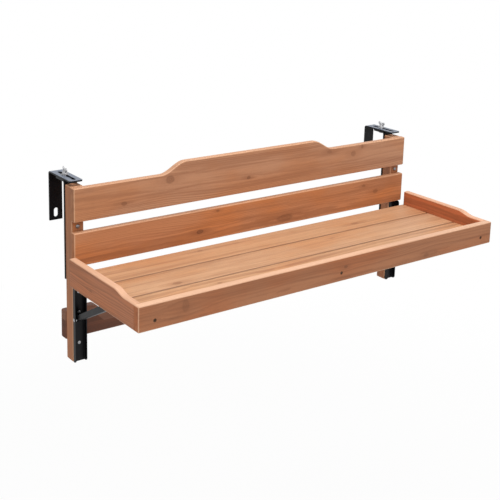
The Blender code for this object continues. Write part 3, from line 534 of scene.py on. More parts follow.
def s_curve(start: Point2, end: Point2, steps: int = 20) -> List[Point2]:
    """Points of an S between two places, level at both ends.

    Args:
        start: where it begins.
        end: where it ends.
        steps: how many stretches it has.

    Returns:
        The points, in order.
    """
    points = []
    for i in range(steps + 1):
        share = i / steps
        ease = (1 - math.cos(math.pi * share)) / 2
        points.append((start[0] + (end[0] - start[0]) * share, start[1] + (end[1] - start[1]) * ease))
    return points


def slot_outline(first: Point2, last: Point2, width: float) -> List[Point2]:
    """A slot with round ends about two centres, the second one above the first."""
    return arc(first, width / 2, 180, 360, 14) + arc(last, width / 2, 0, 180, 14)


def new_object(name: str, mesh: bpy.types.Mesh) -> Thing:
    """Links a new object.

    Args:
        name: its name.
        mesh: its mesh.

    Returns:
        The object.
    """
    thing = bpy.data.objects.new(name, mesh)
    bpy.context.scene.collection.objects.link(thing)
    return thing


def settle(thing: Thing, cutters: Sequence[Thing] = ()) -> Thing:
    """Applies an object's modifiers and removes its cutters.

    Args:
        thing: the object.
        cutters: the objects that its modifiers needed.

    Returns:
        The same object.
    """
    depsgraph = bpy.context.evaluated_depsgraph_get()
    mesh = bpy.data.meshes.new_from_object(thing.evaluated_get(depsgraph), preserve_all_data_layers=True,
                                           depsgraph=depsgraph)
    thing.modifiers.clear()
    thing.data = mesh
    for cutter in cutters:
        bpy.data.objects.remove(cutter, do_unlink=True)
    return thing


def evened(thing: Thing) -> Thing:
    """Shades a piece smooth, with its broad faces flat and its sharp edges sharp.

    Args:
        thing: the piece, its other modifiers applied.

    Returns:
        The same piece.
    """
    thing.data.shade_smooth()
    thing.data.set_sharp_from_angle(angle=math.radians(50.0))
    weighted = thing.modifiers.new("weighted_normals", "WEIGHTED_NORMAL")
    weighted.keep_sharp = True
    return settle(thing)


def cut(thing: Thing, other: Thing, operation: str = "DIFFERENCE") -> None:
    """Cuts, joins or intersects a piece with another.

    Args:
        thing: the piece.
        other: the other one, which stays until the piece is settled.
        operation: the Boolean modifier's operation.
    """
    boolean = thing.modifiers.new(other.name, "BOOLEAN")
    boolean.operation = operation
    boolean.solver = "EXACT"
    boolean.object = other


def carved(thing: Thing, cutters: Sequence[Thing]) -> Thing:
    """Cuts several others out of a piece.

    Args:
        thing: the piece.
        cutters: the others, which are removed.

    Returns:
        The same piece.
    """
    for cutter in cutters:
        cut(thing, cutter)
    return settle(thing, cutters)


def soften(thing: Thing, width: float, segments: int = 3,
           crisp: Optional[Callable[[Vector], bool]] = None) -> None:
    """Rounds the sharp edges of a piece and shades it smooth.

    Args:
        thing: the piece.
        width: how far the rounding goes from the edge.
        segments: how many faces it has.
        crisp: says of a point whether it lies where edges stay nearly sharp.
    """
    thing.data.shade_smooth()
    bevel = thing.modifiers.new("rounded_edges", "BEVEL")
    bevel.width = width
    bevel.segments = segments
    bevel.harden_normals = True
    bevel.limit_method = "ANGLE"
    bevel.angle_limit = math.radians(30.0)
    if crisp is None:
        return
    bevel.limit_method = "WEIGHT"
    bm = bmesh.new()
    bm.from_mesh(thing.data)
    weight = bm.edges.layers.float.new("bevel_weight_edge")
    for edge in bm.edges:
        if edge.calc_face_angle(0.0) > math.radians(30.0):
            edge[weight] = 0.22 if all(crisp(vertex.co) for vertex in edge.verts) else 1.0
    bm.to_mesh(thing.data)
    bm.free()


def adopt(thing: Thing, node: str, material: Finish) -> None:
    """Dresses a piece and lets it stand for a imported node, on the node's own body.

    Args:
        thing: the piece.
        node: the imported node.
        material: the piece's finish.
    """
    thing.data.materials.clear()
    thing.data.materials.append(material)
    body = frame["nodes"][node]["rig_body"]
    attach(thing, body)
    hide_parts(node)
    LOG.info("%s stands for %s on %s", thing.name, node, body)


def prism(name: str, outline: Sequence[Point2], start: float, end: float,
          place: Callable[[float, float, float], Vector]) -> Thing:
    """A solid with a flat outline.

    Args:
        name: the object's name.
        outline: its points, in order.
        start: where it begins through the outline's plane.
        end: where it ends.
        place: turns (along, across, through) into a point of the table's frame.

    Returns:
        The new object.
    """
    bm = bmesh.new()
    rings = [[bm.verts.new(place(a, b, level)) for a, b in outline] for level in (start, end)]
    bm.faces.new(rings[0])
    bm.faces.new(rings[1])
    for i, vertex in enumerate(rings[0]):
        j = (i + 1) % len(outline)
        bm.faces.new((vertex, rings[0][j], rings[1][j], rings[1][i]))
    bmesh.ops.recalc_face_normals(bm, faces=bm.faces)
    mesh = bpy.data.meshes.new(name)
    bm.to_mesh(mesh)
    bm.free()
    return new_object(name, mesh)


@dataclass(frozen=True)
class Thread:
    """A screw thread between two heights of a turned piece."""

    start: float
    end: float
    pitch: float
    depth: float

    def cut_at(self, height: float, turn: float) -> float:
        """How deep the thread cuts.

        Args:
            height: the height along the piece.
            turn: the share of one turn about it.

        Returns:
            The depth.
        """
        if not self.start < height < self.end:
            return 0.0
        fade = min(1.0, (height - self.start) / self.pitch, (self.end - height) / self.pitch)
        share = (height / self.pitch - turn) % 1.0
        return self.depth * fade * (1.0 - abs(2.0 * share - 1.0))


def turned(name: str, profile: Sequence[Point2], place: Matrix, sides: int = 40,
           thread: Optional[Thread] = None, ring: bool = False) -> Thing:
    """A solid turned about Z, with or without a thread.

    Args:
        name: the object's name.
        profile: (radius, height) points in order.
        place: where the solid stands.
        sides: points round it.
        thread: the thread cut into it.
        ring: whether the profile closes on itself, as for a washer, and not on the axis.

    Returns:
        The new object, its place in its mesh.
    """
    rows: List[Point2] = []
    for (r0, h0), (r1, h1) in zip(profile, profile[1:]):
        steps = 1
        if thread and min(h0, h1) < thread.end and max(h0, h1) > thread.start:
            steps = max(1, math.ceil(abs(h1 - h0) / thread.pitch * 6))
        rows += [(r0 + (r1 - r0) * i / steps, h0 + (h1 - h0) * i / steps) for i in range(steps)]
    rows.append(profile[-1])
    bm = bmesh.new()
    levels = []
    for radius, height in rows:
        if radius == 0.0:
            levels.append([bm.verts.new((0.0, 0.0, height))] * sides)
            continue
        level = []
        for i in range(sides):
            turn = i / sides
            r = radius - (thread.cut_at(height, turn) if thread else 0.0)
            level.append(bm.verts.new((r * math.cos(turn * math.tau), r * math.sin(turn * math.tau), height)))
        levels.append(level)
    if ring:
        levels.append(levels[0])
    for lower, upper in zip(levels, levels[1:]):
        for i in range(sides):
            j = (i + 1) % sides
            corners = list(dict.fromkeys((lower[i], lower[j], upper[j], upper[i])))
            bm.faces.new(corners)
    bmesh.ops.recalc_face_normals(bm, faces=bm.faces)
    mesh = bpy.data.meshes.new(name)
    bm.to_mesh(mesh)
    bm.free()
    mesh.transform(place)
    mesh.shade_smooth()
    mesh.set_sharp_from_angle(angle=math.radians(38.0))
    return new_object(name, mesh)


def standing(spot: Vector, up: Vector) -> Matrix:
    """A placement at a spot.

    Args:
        spot: where its origin is.
        up: the way its Z points, along one of the table's axes.

    Returns:
        The placement.
    """
    side = X_AXIS if abs(up.x) < 0.5 else Y_AXIS
    axes = Matrix((side, up.cross(side), up)).transposed().to_4x4()
    return Matrix.Translation(spot) @ axes


def middle_of(node: str, x: Optional[float] = None, y: Optional[float] = None,
              z: Optional[float] = None) -> Vector:
    """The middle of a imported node's box, moved to a given X, Y or Z.

    Args:
        node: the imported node.
        x: the point's X, if not the middle's.
        y: its Y.
        z: its Z.

    Returns:
        The point.
    """
    low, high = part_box(node)
    return Vector([(a + b) / 2 if c is None else c for a, b, c in zip(low, high, (x, y, z))])


def plain_rod(radius: float, start: float, end: float) -> List[Point2]:
    """The profile of a plain rod between two heights."""
    return [(0.0, start), (radius, start), (radius, end), (0.0, end)]


def chamfered(radius: float, length: float, chamfer: float) -> List[Point2]:
    """The outer profile of a rod, broken at both ends."""
    return [(radius - chamfer, 0.0), (radius, chamfer), (radius, length - chamfer),
            (radius - chamfer, length)]


def ring_profile(bore: float, radius: float, length: float, chamfer: float) -> List[Point2]:
    """The profile of a tube or washer, broken at its four edges."""
    return [(bore + chamfer, 0.0), *chamfered(radius, length, chamfer), (bore + chamfer, length),
            (bore, length - chamfer), (bore, chamfer)]


def as_plan(a: float, b: float, c: float) -> Vector:
    """Lays an outline level: along X and Y, its depth along Z."""
    return Vector((a, b, c))


def as_front(a: float, b: float, c: float) -> Vector:
    """Stands an outline up: along X and Z, its depth along Y."""
    return Vector((a, c, b))


def as_side(a: float, b: float, c: float) -> Vector:
    """Turns an outline to the side: along Y and Z, its depth along X."""
    return Vector((c, a, b))


def dome(radius: float, height: float) -> List[Point2]:
    """The profile of a domed head with a slightly rolled rim.

    Args:
        radius: the head's radius.
        height: how far it stands out.

    Returns:
        (radius, height) points from its top down to its foot.
    """
    rim = height * 0.22
    crown = [(radius * math.sin(math.radians(a)), rim + (height - rim) * math.cos(math.radians(a)))
             for a in range(0, 91, 10)]
    return crown + [(radius * 0.995, rim * 0.4), (radius * 0.95, 0.0)]


def polished(node: str, material: Finish) -> None:
    """Lets a smoothly shaded copy of a packed steel node's shape stand for it.

    Args:
        node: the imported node.
        material: its finish.
    """
    mesh = frame["nodes"][node].data.copy()
    bm = bmesh.new()
    bm.from_mesh(mesh)
    bmesh.ops.remove_doubles(bm, verts=bm.verts, dist=1e-6)
    bmesh.ops.dissolve_limit(bm, angle_limit=math.radians(0.5), verts=bm.verts, edges=bm.edges)
    bm.to_mesh(mesh)
    bm.free()
    adopt(evened(new_object(node + "_steel", mesh)), node, material)


@dataclass
class Board:
    """One board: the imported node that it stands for, how it lies, and its own grain."""

    node: str
    grain: Grain
    wood: StainedWood
    slot: str = "frame_wood"
    edge: float = 0.0038
    shoulders: Tuple[Shoulder, ...] = ()
    butts: Tuple[Tuple[int, int], ...] = ()
    holes: Tuple[Tuple[Vector, Vector, float, float], ...] = ()

    def outline(self, low: Vector, high: Vector) -> List[Point2]:
        """The board's outline.

        Args:
            low: the board's lowest corner.
            high: its highest corner.

        Returns:
            (along, across) points, in order.
        """
        length, width, _ = self.grain.value
        start, end = low[length], high[length]
        foot, top = low[width], high[width]
        if not self.shoulders:
            return [(start, foot), (end, foot), (end, top), (start, top)]
        upper: List[Point2] = []
        for s in self.shoulders:
            points = s_curve((s.low_at, s.low), (s.high_at, s.high))
            upper += points if s.low_at < s.high_at else points[::-1]
        return [(start, upper[0][1]), *upper, (end, upper[-1][1]), (end, foot), (start, foot)]

    def build(self) -> None:
        """Saws the board, rounds its edges, drills it and finishes it."""
        low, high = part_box(self.node)
        length, width, depth = self.grain.value

        def place(a: float, b: float, c: float) -> Vector:
            """A point of the table's frame."""
            by_axis = {length: a, width: b, depth: c}
            return Vector([by_axis[axis] for axis in range(3)])

        def at_butt(spot: Vector) -> bool:
            """Whether a point lies on a side that meets another board."""
            return any(abs(spot[axis] - (low if way < 0 else high)[axis]) < 1e-6 for axis, way in self.butts)

        thing = prism(self.node + "_wood", self.outline(low, high), low[depth], high[depth], place)
        soften(thing, self.edge, 5, at_butt)
        carved(thing, [turned("hole", plain_rod(radius, -sunk, sunk), standing(mouth, axis), 32)
                       for mouth, axis, radius, sunk in self.holes])
        finish = self.wood.material(low, high, self.grain, self.shoulders, self.butts)
        adopt(evened(thing), self.node, finish)


@dataclass
class BackFrame:
    """Posts, back slats and the rail that bears on the wall."""

    crest_rise: float = 0.030
    crest_length: float = 0.525
    crest_offset: float = -0.020
    shoulder_length: float = 0.078
    rail_step_height: float = 0.024
    rail_step_length: float = 0.034
    rail_step_inset: float = 0.084
    rail_round: float = 0.005

    def build(self) -> None:
        """Makes the five boards of the back."""
        self.build_slats()
        self.build_rail()
        for side, seed in (("left", 31.0), ("right", 37.9)):
            Board("post_" + side, Grain.POST,
                  StainedWood("wood_post_" + side, seed, early=(0.42, 0.165, 0.070), pith=(0.03, 0.03),
                              glow=(0.48, 0.175, 0.062), ring=0.0032)).build()

    def build_slats(self) -> None:
        """The top slat with its raised middle, and the middle slat."""
        _, post_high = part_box("post_left")
        top = post_high.z
        run = self.shoulder_length / 2
        left = self.crest_offset - self.crest_length / 2
        right = self.crest_offset + self.crest_length / 2
        crest = (Shoulder(left - run, left + run, top, top + self.crest_rise),
                 Shoulder(right + run, right - run, top, top + self.crest_rise))
        top_knots = (Knot(-0.295, 0.372, 0.0085, 0.8, 0.42), Knot(-0.436, 0.327, 0.0045, 0.6, 0.45),
                     Knot(-0.034, 0.340, 0.0040, 0.6, 0.55), Knot(0.362, 0.360, 0.0080, 0.9, 0.34),
                     Knot(0.398, 0.378, 0.0050, 1.2, 0.40), Knot(0.265, 0.378, 0.0045, 0.5, 0.30))
        Board("back_slat_top", Grain.UPRIGHT_ALONG_X,
              StainedWood("wood_back_slat_top", 3.1, early=(0.508, 0.258, 0.144), glow=(0.505, 0.222, 0.104),
                          late=(0.270, 0.105, 0.050), pith=(0.004, 0.060), knots=top_knots),
              shoulders=crest).build()
        middle_knots = (Knot(-0.197, 0.208, 0.0060, 0.6, 0.62), Knot(-0.138, 0.259, 0.0030, 0.6, 0.50),
                        Knot(0.102, 0.199, 0.0090, 0.35, 0.42), Knot(0.463, 0.226, 0.0050, 0.6, 0.40),
                        Knot(0.412, 0.251, 0.0035, 0.6, 0.40))
        Board("back_slat_middle", Grain.UPRIGHT_ALONG_X,
              StainedWood("wood_back_slat_middle", 11.7, early=(0.530, 0.226, 0.104),
                          glow=(0.560, 0.200, 0.066), late=(0.250, 0.088, 0.036), pith=(-0.030, 0.050),
                          knots=middle_knots)).build()

    def build_rail(self) -> None:
        """The rail, lower between the posts, with its wood painted far darker than the other boards: painted
        shade under the tray.
        """
        _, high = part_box("lower_rear_rail")
        step, high_z = high.x - self.rail_step_inset, high.z
        low_z = high_z - self.rail_step_height
        ends = (Shoulder(-step + self.rail_step_length, -step, low_z, high_z),
                Shoulder(step - self.rail_step_length, step, low_z, high_z))
        # Dark colours, a darker end tint and almost no top highlight: painted shade for the rail's place
        # under the tray.
        Board("lower_rear_rail", Grain.UPRIGHT_ALONG_X,
              StainedWood("wood_rail_painted_shade", 23.4, early=(0.170, 0.064, 0.034), glow=(0.195, 0.066, 0.031),
                          late=(0.080, 0.030, 0.016), wear_and_painted_light=(0.260, 0.120, 0.072), top_rub_and_highlight=0.05,
                          end_tint=(0.70, 0.60, 0.52), pith=(0.02, -0.06),
                          knots=(Knot(0.21, -0.012, 0.0060), Knot(-0.33, 0.004, 0.0040))),
              edge=self.rail_round, shoulders=ends).build()


@dataclass
class Tray:
    """The tray: three slats, the apron, two end boards and the batten under them."""

    rim_rise: float = 0.010
    step_length: float = 0.052
    step_from_front: float = 0.066
    screw_hole: float = 0.0047
    screw_hole_depth: float = 0.003

    def build(self) -> None:
        """Makes the seven boards of the tray."""
        self.build_slats()
        self.build_apron()
        self.build_ends()
        Board("tray_batten", Grain.FLAT_ALONG_Y, StainedWood("wood_batten", 83.3)).build()

    def build_slats(self) -> None:
        """The three slats, which are the brightest boards."""
        # The slats' free edges are painted dark: pooled stain and painted shade in the gaps between the
        # slats.
        gap_stain_and_shade, dark = (0.120, 0.044, 0.022), (0.310, 0.125, 0.060)
        slats = (
            ("rear", 41.3, (0.620, 0.350, 0.190), (0.610, 0.300, 0.142), (0.010, 0.080),
             (Knot(0.309, -0.1625, 0.0060, 0.5, 0.35), Knot(-0.22, -0.120, 0.0040, 0.6, 0.35))),
            ("middle", 47.2, (0.630, 0.365, 0.207), (0.625, 0.318, 0.155), (-0.040, 0.050),
             (Knot(-0.400, -0.290, 0.0060, 0.6, 0.45), Knot(0.16, -0.230, 0.0035, 0.6, 0.30))),
            ("front", 53.8, (0.610, 0.345, 0.188), (0.605, 0.295, 0.140), (0.030, 0.060),
             (Knot(0.120, -0.370, 0.0040, 0.6, 0.35), Knot(-0.31, -0.345, 0.0035, 0.6, 0.35))),
        )
        for name, seed, early, glow, pith, knots in slats:
            wood = StainedWood("wood_tray_" + name, seed, early=early, late=dark, glow=glow, wear_and_painted_light=gap_stain_and_shade,
                               pith=pith, top_rub_and_highlight=0.0, knots=knots)
            Board("tray_slat_" + name, Grain.FLAT_ALONG_X, wood, "tray_wood").build()

    def build_apron(self) -> None:
        """The board along the front, with holes for its sunk screws."""
        holes = []
        for name in ("left", "middle", "right"):
            node = "apron_screw_" + name
            mouth = middle_of(node, y=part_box(node)[0].y)
            holes.append((mouth, Y_AXIS, self.screw_hole, self.screw_hole_depth))
        knots = (Knot(-0.472, 0.176, 0.0150, 1.5, 0.30), Knot(0.028, 0.173, 0.0040, 0.6, 0.50),
                 Knot(0.33, 0.150, 0.0045, 0.6, 0.30))
        # The apron's end faces are painted lighter than its front, a painted highlight, and its top takes a
        # strong edge colour: rubbed stain and a painted highlight.
        Board("front_apron", Grain.UPRIGHT_ALONG_X,
              StainedWood("wood_apron", 61.5, early=(0.380, 0.158, 0.073), glow=(0.380, 0.130, 0.050),
                          wear_and_painted_light=(0.80, 0.50, 0.33), pith=(-0.02, -0.07), top_rub_and_highlight=0.75,
                          end_tint=(1.28, 1.10, 0.95), knots=knots),
              butts=((1, 1),), holes=tuple(holes)).build()

    def build_ends(self) -> None:
        """The end boards, lower near the apron."""
        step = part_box("front_apron")[0].y + self.step_from_front
        ends = (("left", 71.0, (0.510, 0.182, 0.075), (0.530, 0.176, 0.062), (0.02, -0.05),
                 Knot(-0.21, 0.162, 0.0035, 0.6, 0.30)),
                ("right", 79.6, (0.600, 0.180, 0.072), (0.620, 0.176, 0.058), (0.02, 0.05),
                 Knot(-0.19, 0.165, 0.0040, 0.6, 0.35)))
        for side, seed, early, glow, pith, knot in ends:
            # Light edge colour on the top edges and up-facing faces: rubbed stain and a painted highlight.
            wood = StainedWood("wood_end_board_" + side, seed, early=early, glow=glow,
                               wear_and_painted_light=(0.80, 0.50, 0.33), pith=pith, top_rub_and_highlight=0.70, knots=(knot,))
            _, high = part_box("end_board_" + side)
            shoulder = Shoulder(step, step + self.step_length, high.z - self.rim_rise, high.z)
            Board("end_board_" + side, Grain.UPRIGHT_ALONG_Y, wood, shoulders=(shoulder,),
                  butts=((1, -1),)).build()


def turned_piece(node: str, profile: Sequence[Point2], place: Matrix, finish: Finish,
                 sides: int = 40, thread: Optional[Thread] = None, ring: bool = False,
                 ending: str = "_turned") -> None:
    """Lets a turned solid stand for a packed fastener.

    Args:
        node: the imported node.
        profile: (radius, height) points in order.
        place: where the solid stands.
        finish: its finish.
        sides: points round it.
        thread: the thread cut into it.
        ring: whether the profile closes on itself.
        ending: what its name adds to the node's.
    """
    adopt(turned(node + ending, profile, place, sides, thread, ring), node, finish)


def joined(first: Thing, second: Thing) -> Thing:
    """Joins two solids into one.

    Args:
        first: the one that stays.
        second: the one that is taken up.

    Returns:
        The first.
    """
    cut(first, second, "UNION")
    settle(first, [second])
    first.data.set_sharp_from_angle(angle=math.radians(30.0))
    return first


@dataclass
class Brackets:
    """Folding brackets: post channels, arms, struts, and the pins and spacers that join them."""

    steel: Finish
    zinc: Finish
    head_height: float = 0.0016
    pin_radius: float = 0.003
    rivet_radius: float = 0.0025
    spacer_wall: float = 0.0013
    chamfer: float = 0.0004

    def build(self) -> None:
        """Smooths the bent steel, and turns the pins, rivets and spacers."""
        for side in SIDES:
            for name in ("post_channel_", "support_arm_", "strut_"):
                polished(name + side, self.steel)
            self.build_pin("hinge_pin_" + side, self.pin_radius)
            self.build_pin("strut_rivet_" + side, self.rivet_radius)
            self.build_slider("slider_pin_" + side)
            for place in ("inner", "outer"):
                self.build_spacer(f"strut_spacer_{side}_{place}")

    def build_pin(self, node: str, radius: float) -> None:
        """A pin across the channel with a domed head at both ends.

        Args:
            node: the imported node.
            radius: the pin's radius between its heads.
        """
        low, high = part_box(node)
        head = dome((high.z - low.z) / 2, self.head_height)
        inner = high.x - low.x - 2 * self.head_height
        profile = [(r, -h) for r, h in head] + [(radius, 0.0), (radius, inner)]
        profile += [(r, inner + h) for r, h in head[::-1]]
        place = standing(middle_of(node, x=low.x + self.head_height), X_AXIS)
        turned_piece(node, profile, place, self.zinc, 44)

    def build_slider(self, node: str) -> None:
        """The pin that slides in the arm's slot.

        Args:
            node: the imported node.
        """
        low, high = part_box(node)
        length = high.x - low.x
        profile = [(0.0, 0.0), *chamfered((high.z - low.z) / 2, length, self.chamfer), (0.0, length)]
        turned_piece(node, profile, standing(middle_of(node, x=low.x), X_AXIS), self.zinc)

    def build_spacer(self, node: str) -> None:
        """A short tube between strut and channel.

        Args:
            node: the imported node.
        """
        low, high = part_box(node)
        radius = (high.z - low.z) / 2
        profile = ring_profile(radius - self.spacer_wall, radius, high.x - low.x, self.chamfer / 2)
        place = standing(middle_of(node, x=low.x), X_AXIS)
        turned_piece(node, profile, place, self.zinc, ring=True, ending="_tube")


@dataclass
class Hangers:
    """Straps behind the posts and the hooks that slide on them, with bolts, washers and wing nuts."""

    steel: Finish
    zinc: Finish
    dull: Finish
    strap_thickness: float = 0.005
    hook_thickness: float = 0.004
    bend: float = 0.004
    plate_corner: float = 0.006
    plate_slot: Point2 = (0.010, 0.092)
    plate_slot_inset: float = 0.010
    leg_slot: Point2 = (0.012, 0.025)
    leg_slot_inset: float = 0.008
    slot_cut_depth: float = 0.02
    margin: float = 0.001
    arris: float = 0.0007
    screw_sink: float = 0.0047
    bolt_sink: float = 0.0033
    sink_depth: float = 0.002
    bolt_back: float = 0.005
    bolt_radius: float = 0.004
    bolt_head: Point2 = (0.013, 0.0053)
    bolt_pitch: float = 0.00125
    bolt_thread: float = 0.00065
    bolt_plain: float = 0.004
    washer_play: float = 0.0004
    washer_chamfer: float = 0.0003
    nut_play: float = 0.0003
    nut_radius: float = 0.0075
    nut_top: float = 0.006
    nut_height: float = 0.009
    nut_rim: float = 0.0012
    wing_span: float = 0.032
    wing_height: float = 0.018
    wing_thickness: float = 0.0032
    wing_neck: float = 0.0035
    wing_foot: float = 0.0022
    wing_dip: float = 0.0008
    wing_round: float = 0.0009
    ear: float = 0.0045
    wing_turn: float = 80.0
    cast_grain: float = 0.00035
    strap_bolt_radius: float = 0.003
    strap_bolt_head: float = 0.0028
    strap_bolt_end: float = 0.0004
    strap_thread: Thread = Thread(-0.001, 0.016, 0.001, 0.0005)
    strap_nut_width: float = 0.010
    strap_nut_play: float = 0.0002
    strap_nut_lip: float = 0.0006

    def build(self) -> None:
        """Makes both sides."""
        for side in SIDES:
            self.build_strap("post_strap_" + side, side)
            self.build_hook("hook_" + side)
            self.build_hook_bolt("hook_bolt_" + side)
            self.build_washer("hook_washer_" + side)
            self.build_wing_nut("wing_nut_" + side)
            self.build_strap_bolt("strap_bolt_" + side)
            self.build_strap_nut("strap_nut_" + side)

    def bar(self, node: str, reach: float, far: float, thickness: float) -> Thing:
        """A flat bar bent into a level flange and an upright leg.

        Args:
            node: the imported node, whose box gives the bar's width, top and foot.
            reach: the flange's free end, along Y.
            far: the leg's outer face, along Y.
            thickness: the bar's thickness.

        Returns:
            The new object.
        """
        low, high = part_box(node)
        outer = self.bend + thickness
        heading, end = (1, 0) if far > reach else (-1, 180)
        centre = (far - heading * outer, high.z - outer)
        outline = [(reach, high.z - thickness), *arc(centre, self.bend, 90, end, 12),
                   (far - heading * thickness, low.z), (far, low.z), *arc(centre, outer, end, 90, 12),
                   (reach, high.z)]
        return prism(node + "_bar", outline, low.x, high.x, as_side)

    def build_strap(self, node: str, side: str) -> None:
        """The strap behind a post, bent rearwards over its top.

        Args:
            node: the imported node.
            side: left or right.
        """
        low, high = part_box(node)
        thing = self.bar(node, high.y, low.y, self.strap_thickness)
        soften(thing, self.arris)
        holes = []
        for fastener, radius in (("strap_screw_", self.screw_sink), ("strap_bolt_", self.bolt_sink)):
            walls = [(0.0, -self.sink_depth), (radius * 0.7, -self.sink_depth), (radius, 0.0),
                     (radius, self.margin), (0.0, self.margin)]
            mouth = middle_of(fastener + side, y=low.y + self.strap_thickness)
            holes.append(turned("strap_hole", walls, standing(mouth, Y_AXIS)))
        adopt(evened(carved(thing, holes)), node, self.steel)

    def build_hook(self, node: str) -> None:
        """A hook: a slotted plate with round corners, bent down into a slotted leg.

        Args:
            node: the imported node.
        """
        low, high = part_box(node)
        middle = (low.x + high.x) / 2
        thing = self.bar(node, low.y, high.y, self.hook_thickness)
        margin, r = self.margin, self.plate_corner
        plan = [*arc((low.x + r, low.y + r), r, 180, 270), *arc((high.x - r, low.y + r), r, 270, 360),
                (high.x, high.y + margin), (low.x, high.y + margin)]
        width, length = self.plate_slot
        front = low.y + self.plate_slot_inset + width / 2
        plate = slot_outline((middle, front), (middle, front + length - width), width)
        leg_width, leg_length = self.leg_slot
        foot = low.z + self.leg_slot_inset + leg_width / 2
        leg = slot_outline((middle, foot), (middle, foot + leg_length - leg_width), leg_width)
        whole = prism("hook_plan", plan, low.z - margin, high.z + margin, as_plan)
        slots = [prism("plate_slot", plate, high.z - self.slot_cut_depth, high.z + margin, as_plan),
                 prism("leg_slot", leg, high.y - self.slot_cut_depth, high.y + margin, as_front)]
        cut(thing, whole, "INTERSECT")
        for slot in slots:
            cut(thing, slot)
        soften(thing, self.arris)
        adopt(evened(settle(thing, [whole, *slots])), node, self.steel)

    def hexagon(self, name: str, across: float, height: float, place: Matrix,
                both_ends: bool) -> Thing:
        """A hexagonal head or nut with turned corners.

        Args:
            name: the object's name.
            across: its width across the flats.
            height: its height.
            place: where it stands.
            both_ends: whether the corners are turned at both ends, and not at the outer one alone.

        Returns:
            The new object.
        """
        corner = across / math.sqrt(3)
        outline = [(corner * math.cos(math.radians(a)), corner * math.sin(math.radians(a)))
                   for a in range(30, 390, 60)]
        thing = prism(name, outline, 0.0, height, lambda a, b, c: place @ Vector((a, b, c)))
        flat = across / 2 * 0.95
        drop = (corner - flat) * math.tan(math.radians(28.0))
        foot = [(0.0, 0.0), (flat, 0.0), (corner, drop)] if both_ends else [(0.0, 0.0), (corner * 1.01, 0.0)]
        lens = turned("lens", [*foot, (corner, height - drop), (flat, height), (0.0, height)], place, 60)
        cut(thing, lens, "INTERSECT")
        return self.faceted(settle(thing, [lens]), 20.0)

    @staticmethod
    def faceted(thing: Thing, angle: float) -> Thing:
        """Shades a piece smooth but for edges sharper than an angle in degrees.

        Args:
            thing: the piece.
            angle: that angle.

        Returns:
            The same piece.
        """
        thing.data.shade_smooth()
        thing.data.set_sharp_from_angle(angle=math.radians(angle))
        return thing

    def build_hook_bolt(self, node: str) -> None:
        """The bolt up through strap and hook, its hexagon head under the strap's flange.

        Args:
            node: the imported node.
        """
        low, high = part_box(node)
        across, head_height = self.bolt_head
        spot = middle_of(node, y=self.bolt_back, z=low.z + head_height)
        head = self.hexagon(node + "_turned", across, head_height, standing(spot, -Z_AXIS), False)
        length, r, c = high.z - spot.z, self.bolt_radius, self.bolt_thread
        profile = [(0.0, -self.margin), (r, -self.margin), (r, length - c), (r - c, length), (0.0, length)]
        thread = Thread(self.bolt_plain, length + self.bolt_pitch, self.bolt_pitch, self.bolt_thread)
        shank = turned("shank", profile, standing(spot, Z_AXIS), 36, thread)
        adopt(joined(head, shank), node, self.zinc)

    def build_washer(self, node: str) -> None:
        """The washer on the hook's plate.

        Args:
            node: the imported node.
        """
        low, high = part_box(node)
        profile = ring_profile(self.bolt_radius + self.washer_play, (high.x - low.x) / 2, high.z - low.z,
                               self.washer_chamfer)
        place = standing(middle_of(node, y=self.bolt_back, z=low.z), Z_AXIS)
        turned_piece(node, profile, place, self.zinc, 56, ring=True)

    def build_wing_nut(self, node: str) -> None:
        """A cast wing nut: a tapered hub that flows into two round-eared wings.

        Args:
            node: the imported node.
        """
        stand = standing(middle_of(node, z=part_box(node)[0].z), Z_AXIS)
        stand = stand @ Matrix.Rotation(math.radians(self.wing_turn), 4, "Z")
        r, h, neck, t = self.nut_radius, self.nut_height, self.wing_neck, self.wing_thickness / 2
        hub = [(0.0, 0.0), (r, 0.0), (r, self.nut_rim), (self.nut_top, h), (0.0, h)]
        thing = turned(node + "_cast", hub, stand, 40)
        ear = (self.wing_span / 2 - self.ear, self.wing_height - self.ear)
        half = [(neck, self.wing_foot), *arc(ear, self.ear, -50, 150, 16), (neck, h - self.wing_dip)]
        wings = half + [(-a, b) for a, b in reversed(half)]
        blade = prism("wings", wings, -t, t, lambda a, b, c: stand @ Vector((a, c, b)))
        soften(blade, self.wing_round, 2)
        cut(thing, blade, "UNION")
        settle(thing, [blade])
        remesh = thing.modifiers.new("cast", "REMESH")
        remesh.mode = "VOXEL"
        remesh.voxel_size = self.cast_grain
        smooth = thing.modifiers.new("flow", "SMOOTH")
        smooth.factor = 0.5
        smooth.iterations = 5
        bore = self.bolt_radius + self.nut_play
        drill = turned("bore", plain_rod(bore, -self.margin, h + 2 * self.margin), stand, 36)
        adopt(self.faceted(carved(thing, [drill]), 45.0), node, self.zinc)

    def build_strap_bolt(self, node: str) -> None:
        """The bolt through post and strap, its domed head in front.

        Args:
            node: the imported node.
        """
        low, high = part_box(node)
        r, c = self.strap_bolt_radius, self.strap_bolt_end
        foot = high.y - low.y - self.strap_bolt_head
        profile = [(x, foot + z) for x, z in dome((high.x - low.x) / 2, self.strap_bolt_head)]
        profile += [(r, foot), (r, c), (r - c, 0.0), (0.0, 0.0)]
        place = standing(middle_of(node, y=high.y), -Y_AXIS)
        turned_piece(node, profile, place, self.dull, thread=self.strap_thread)

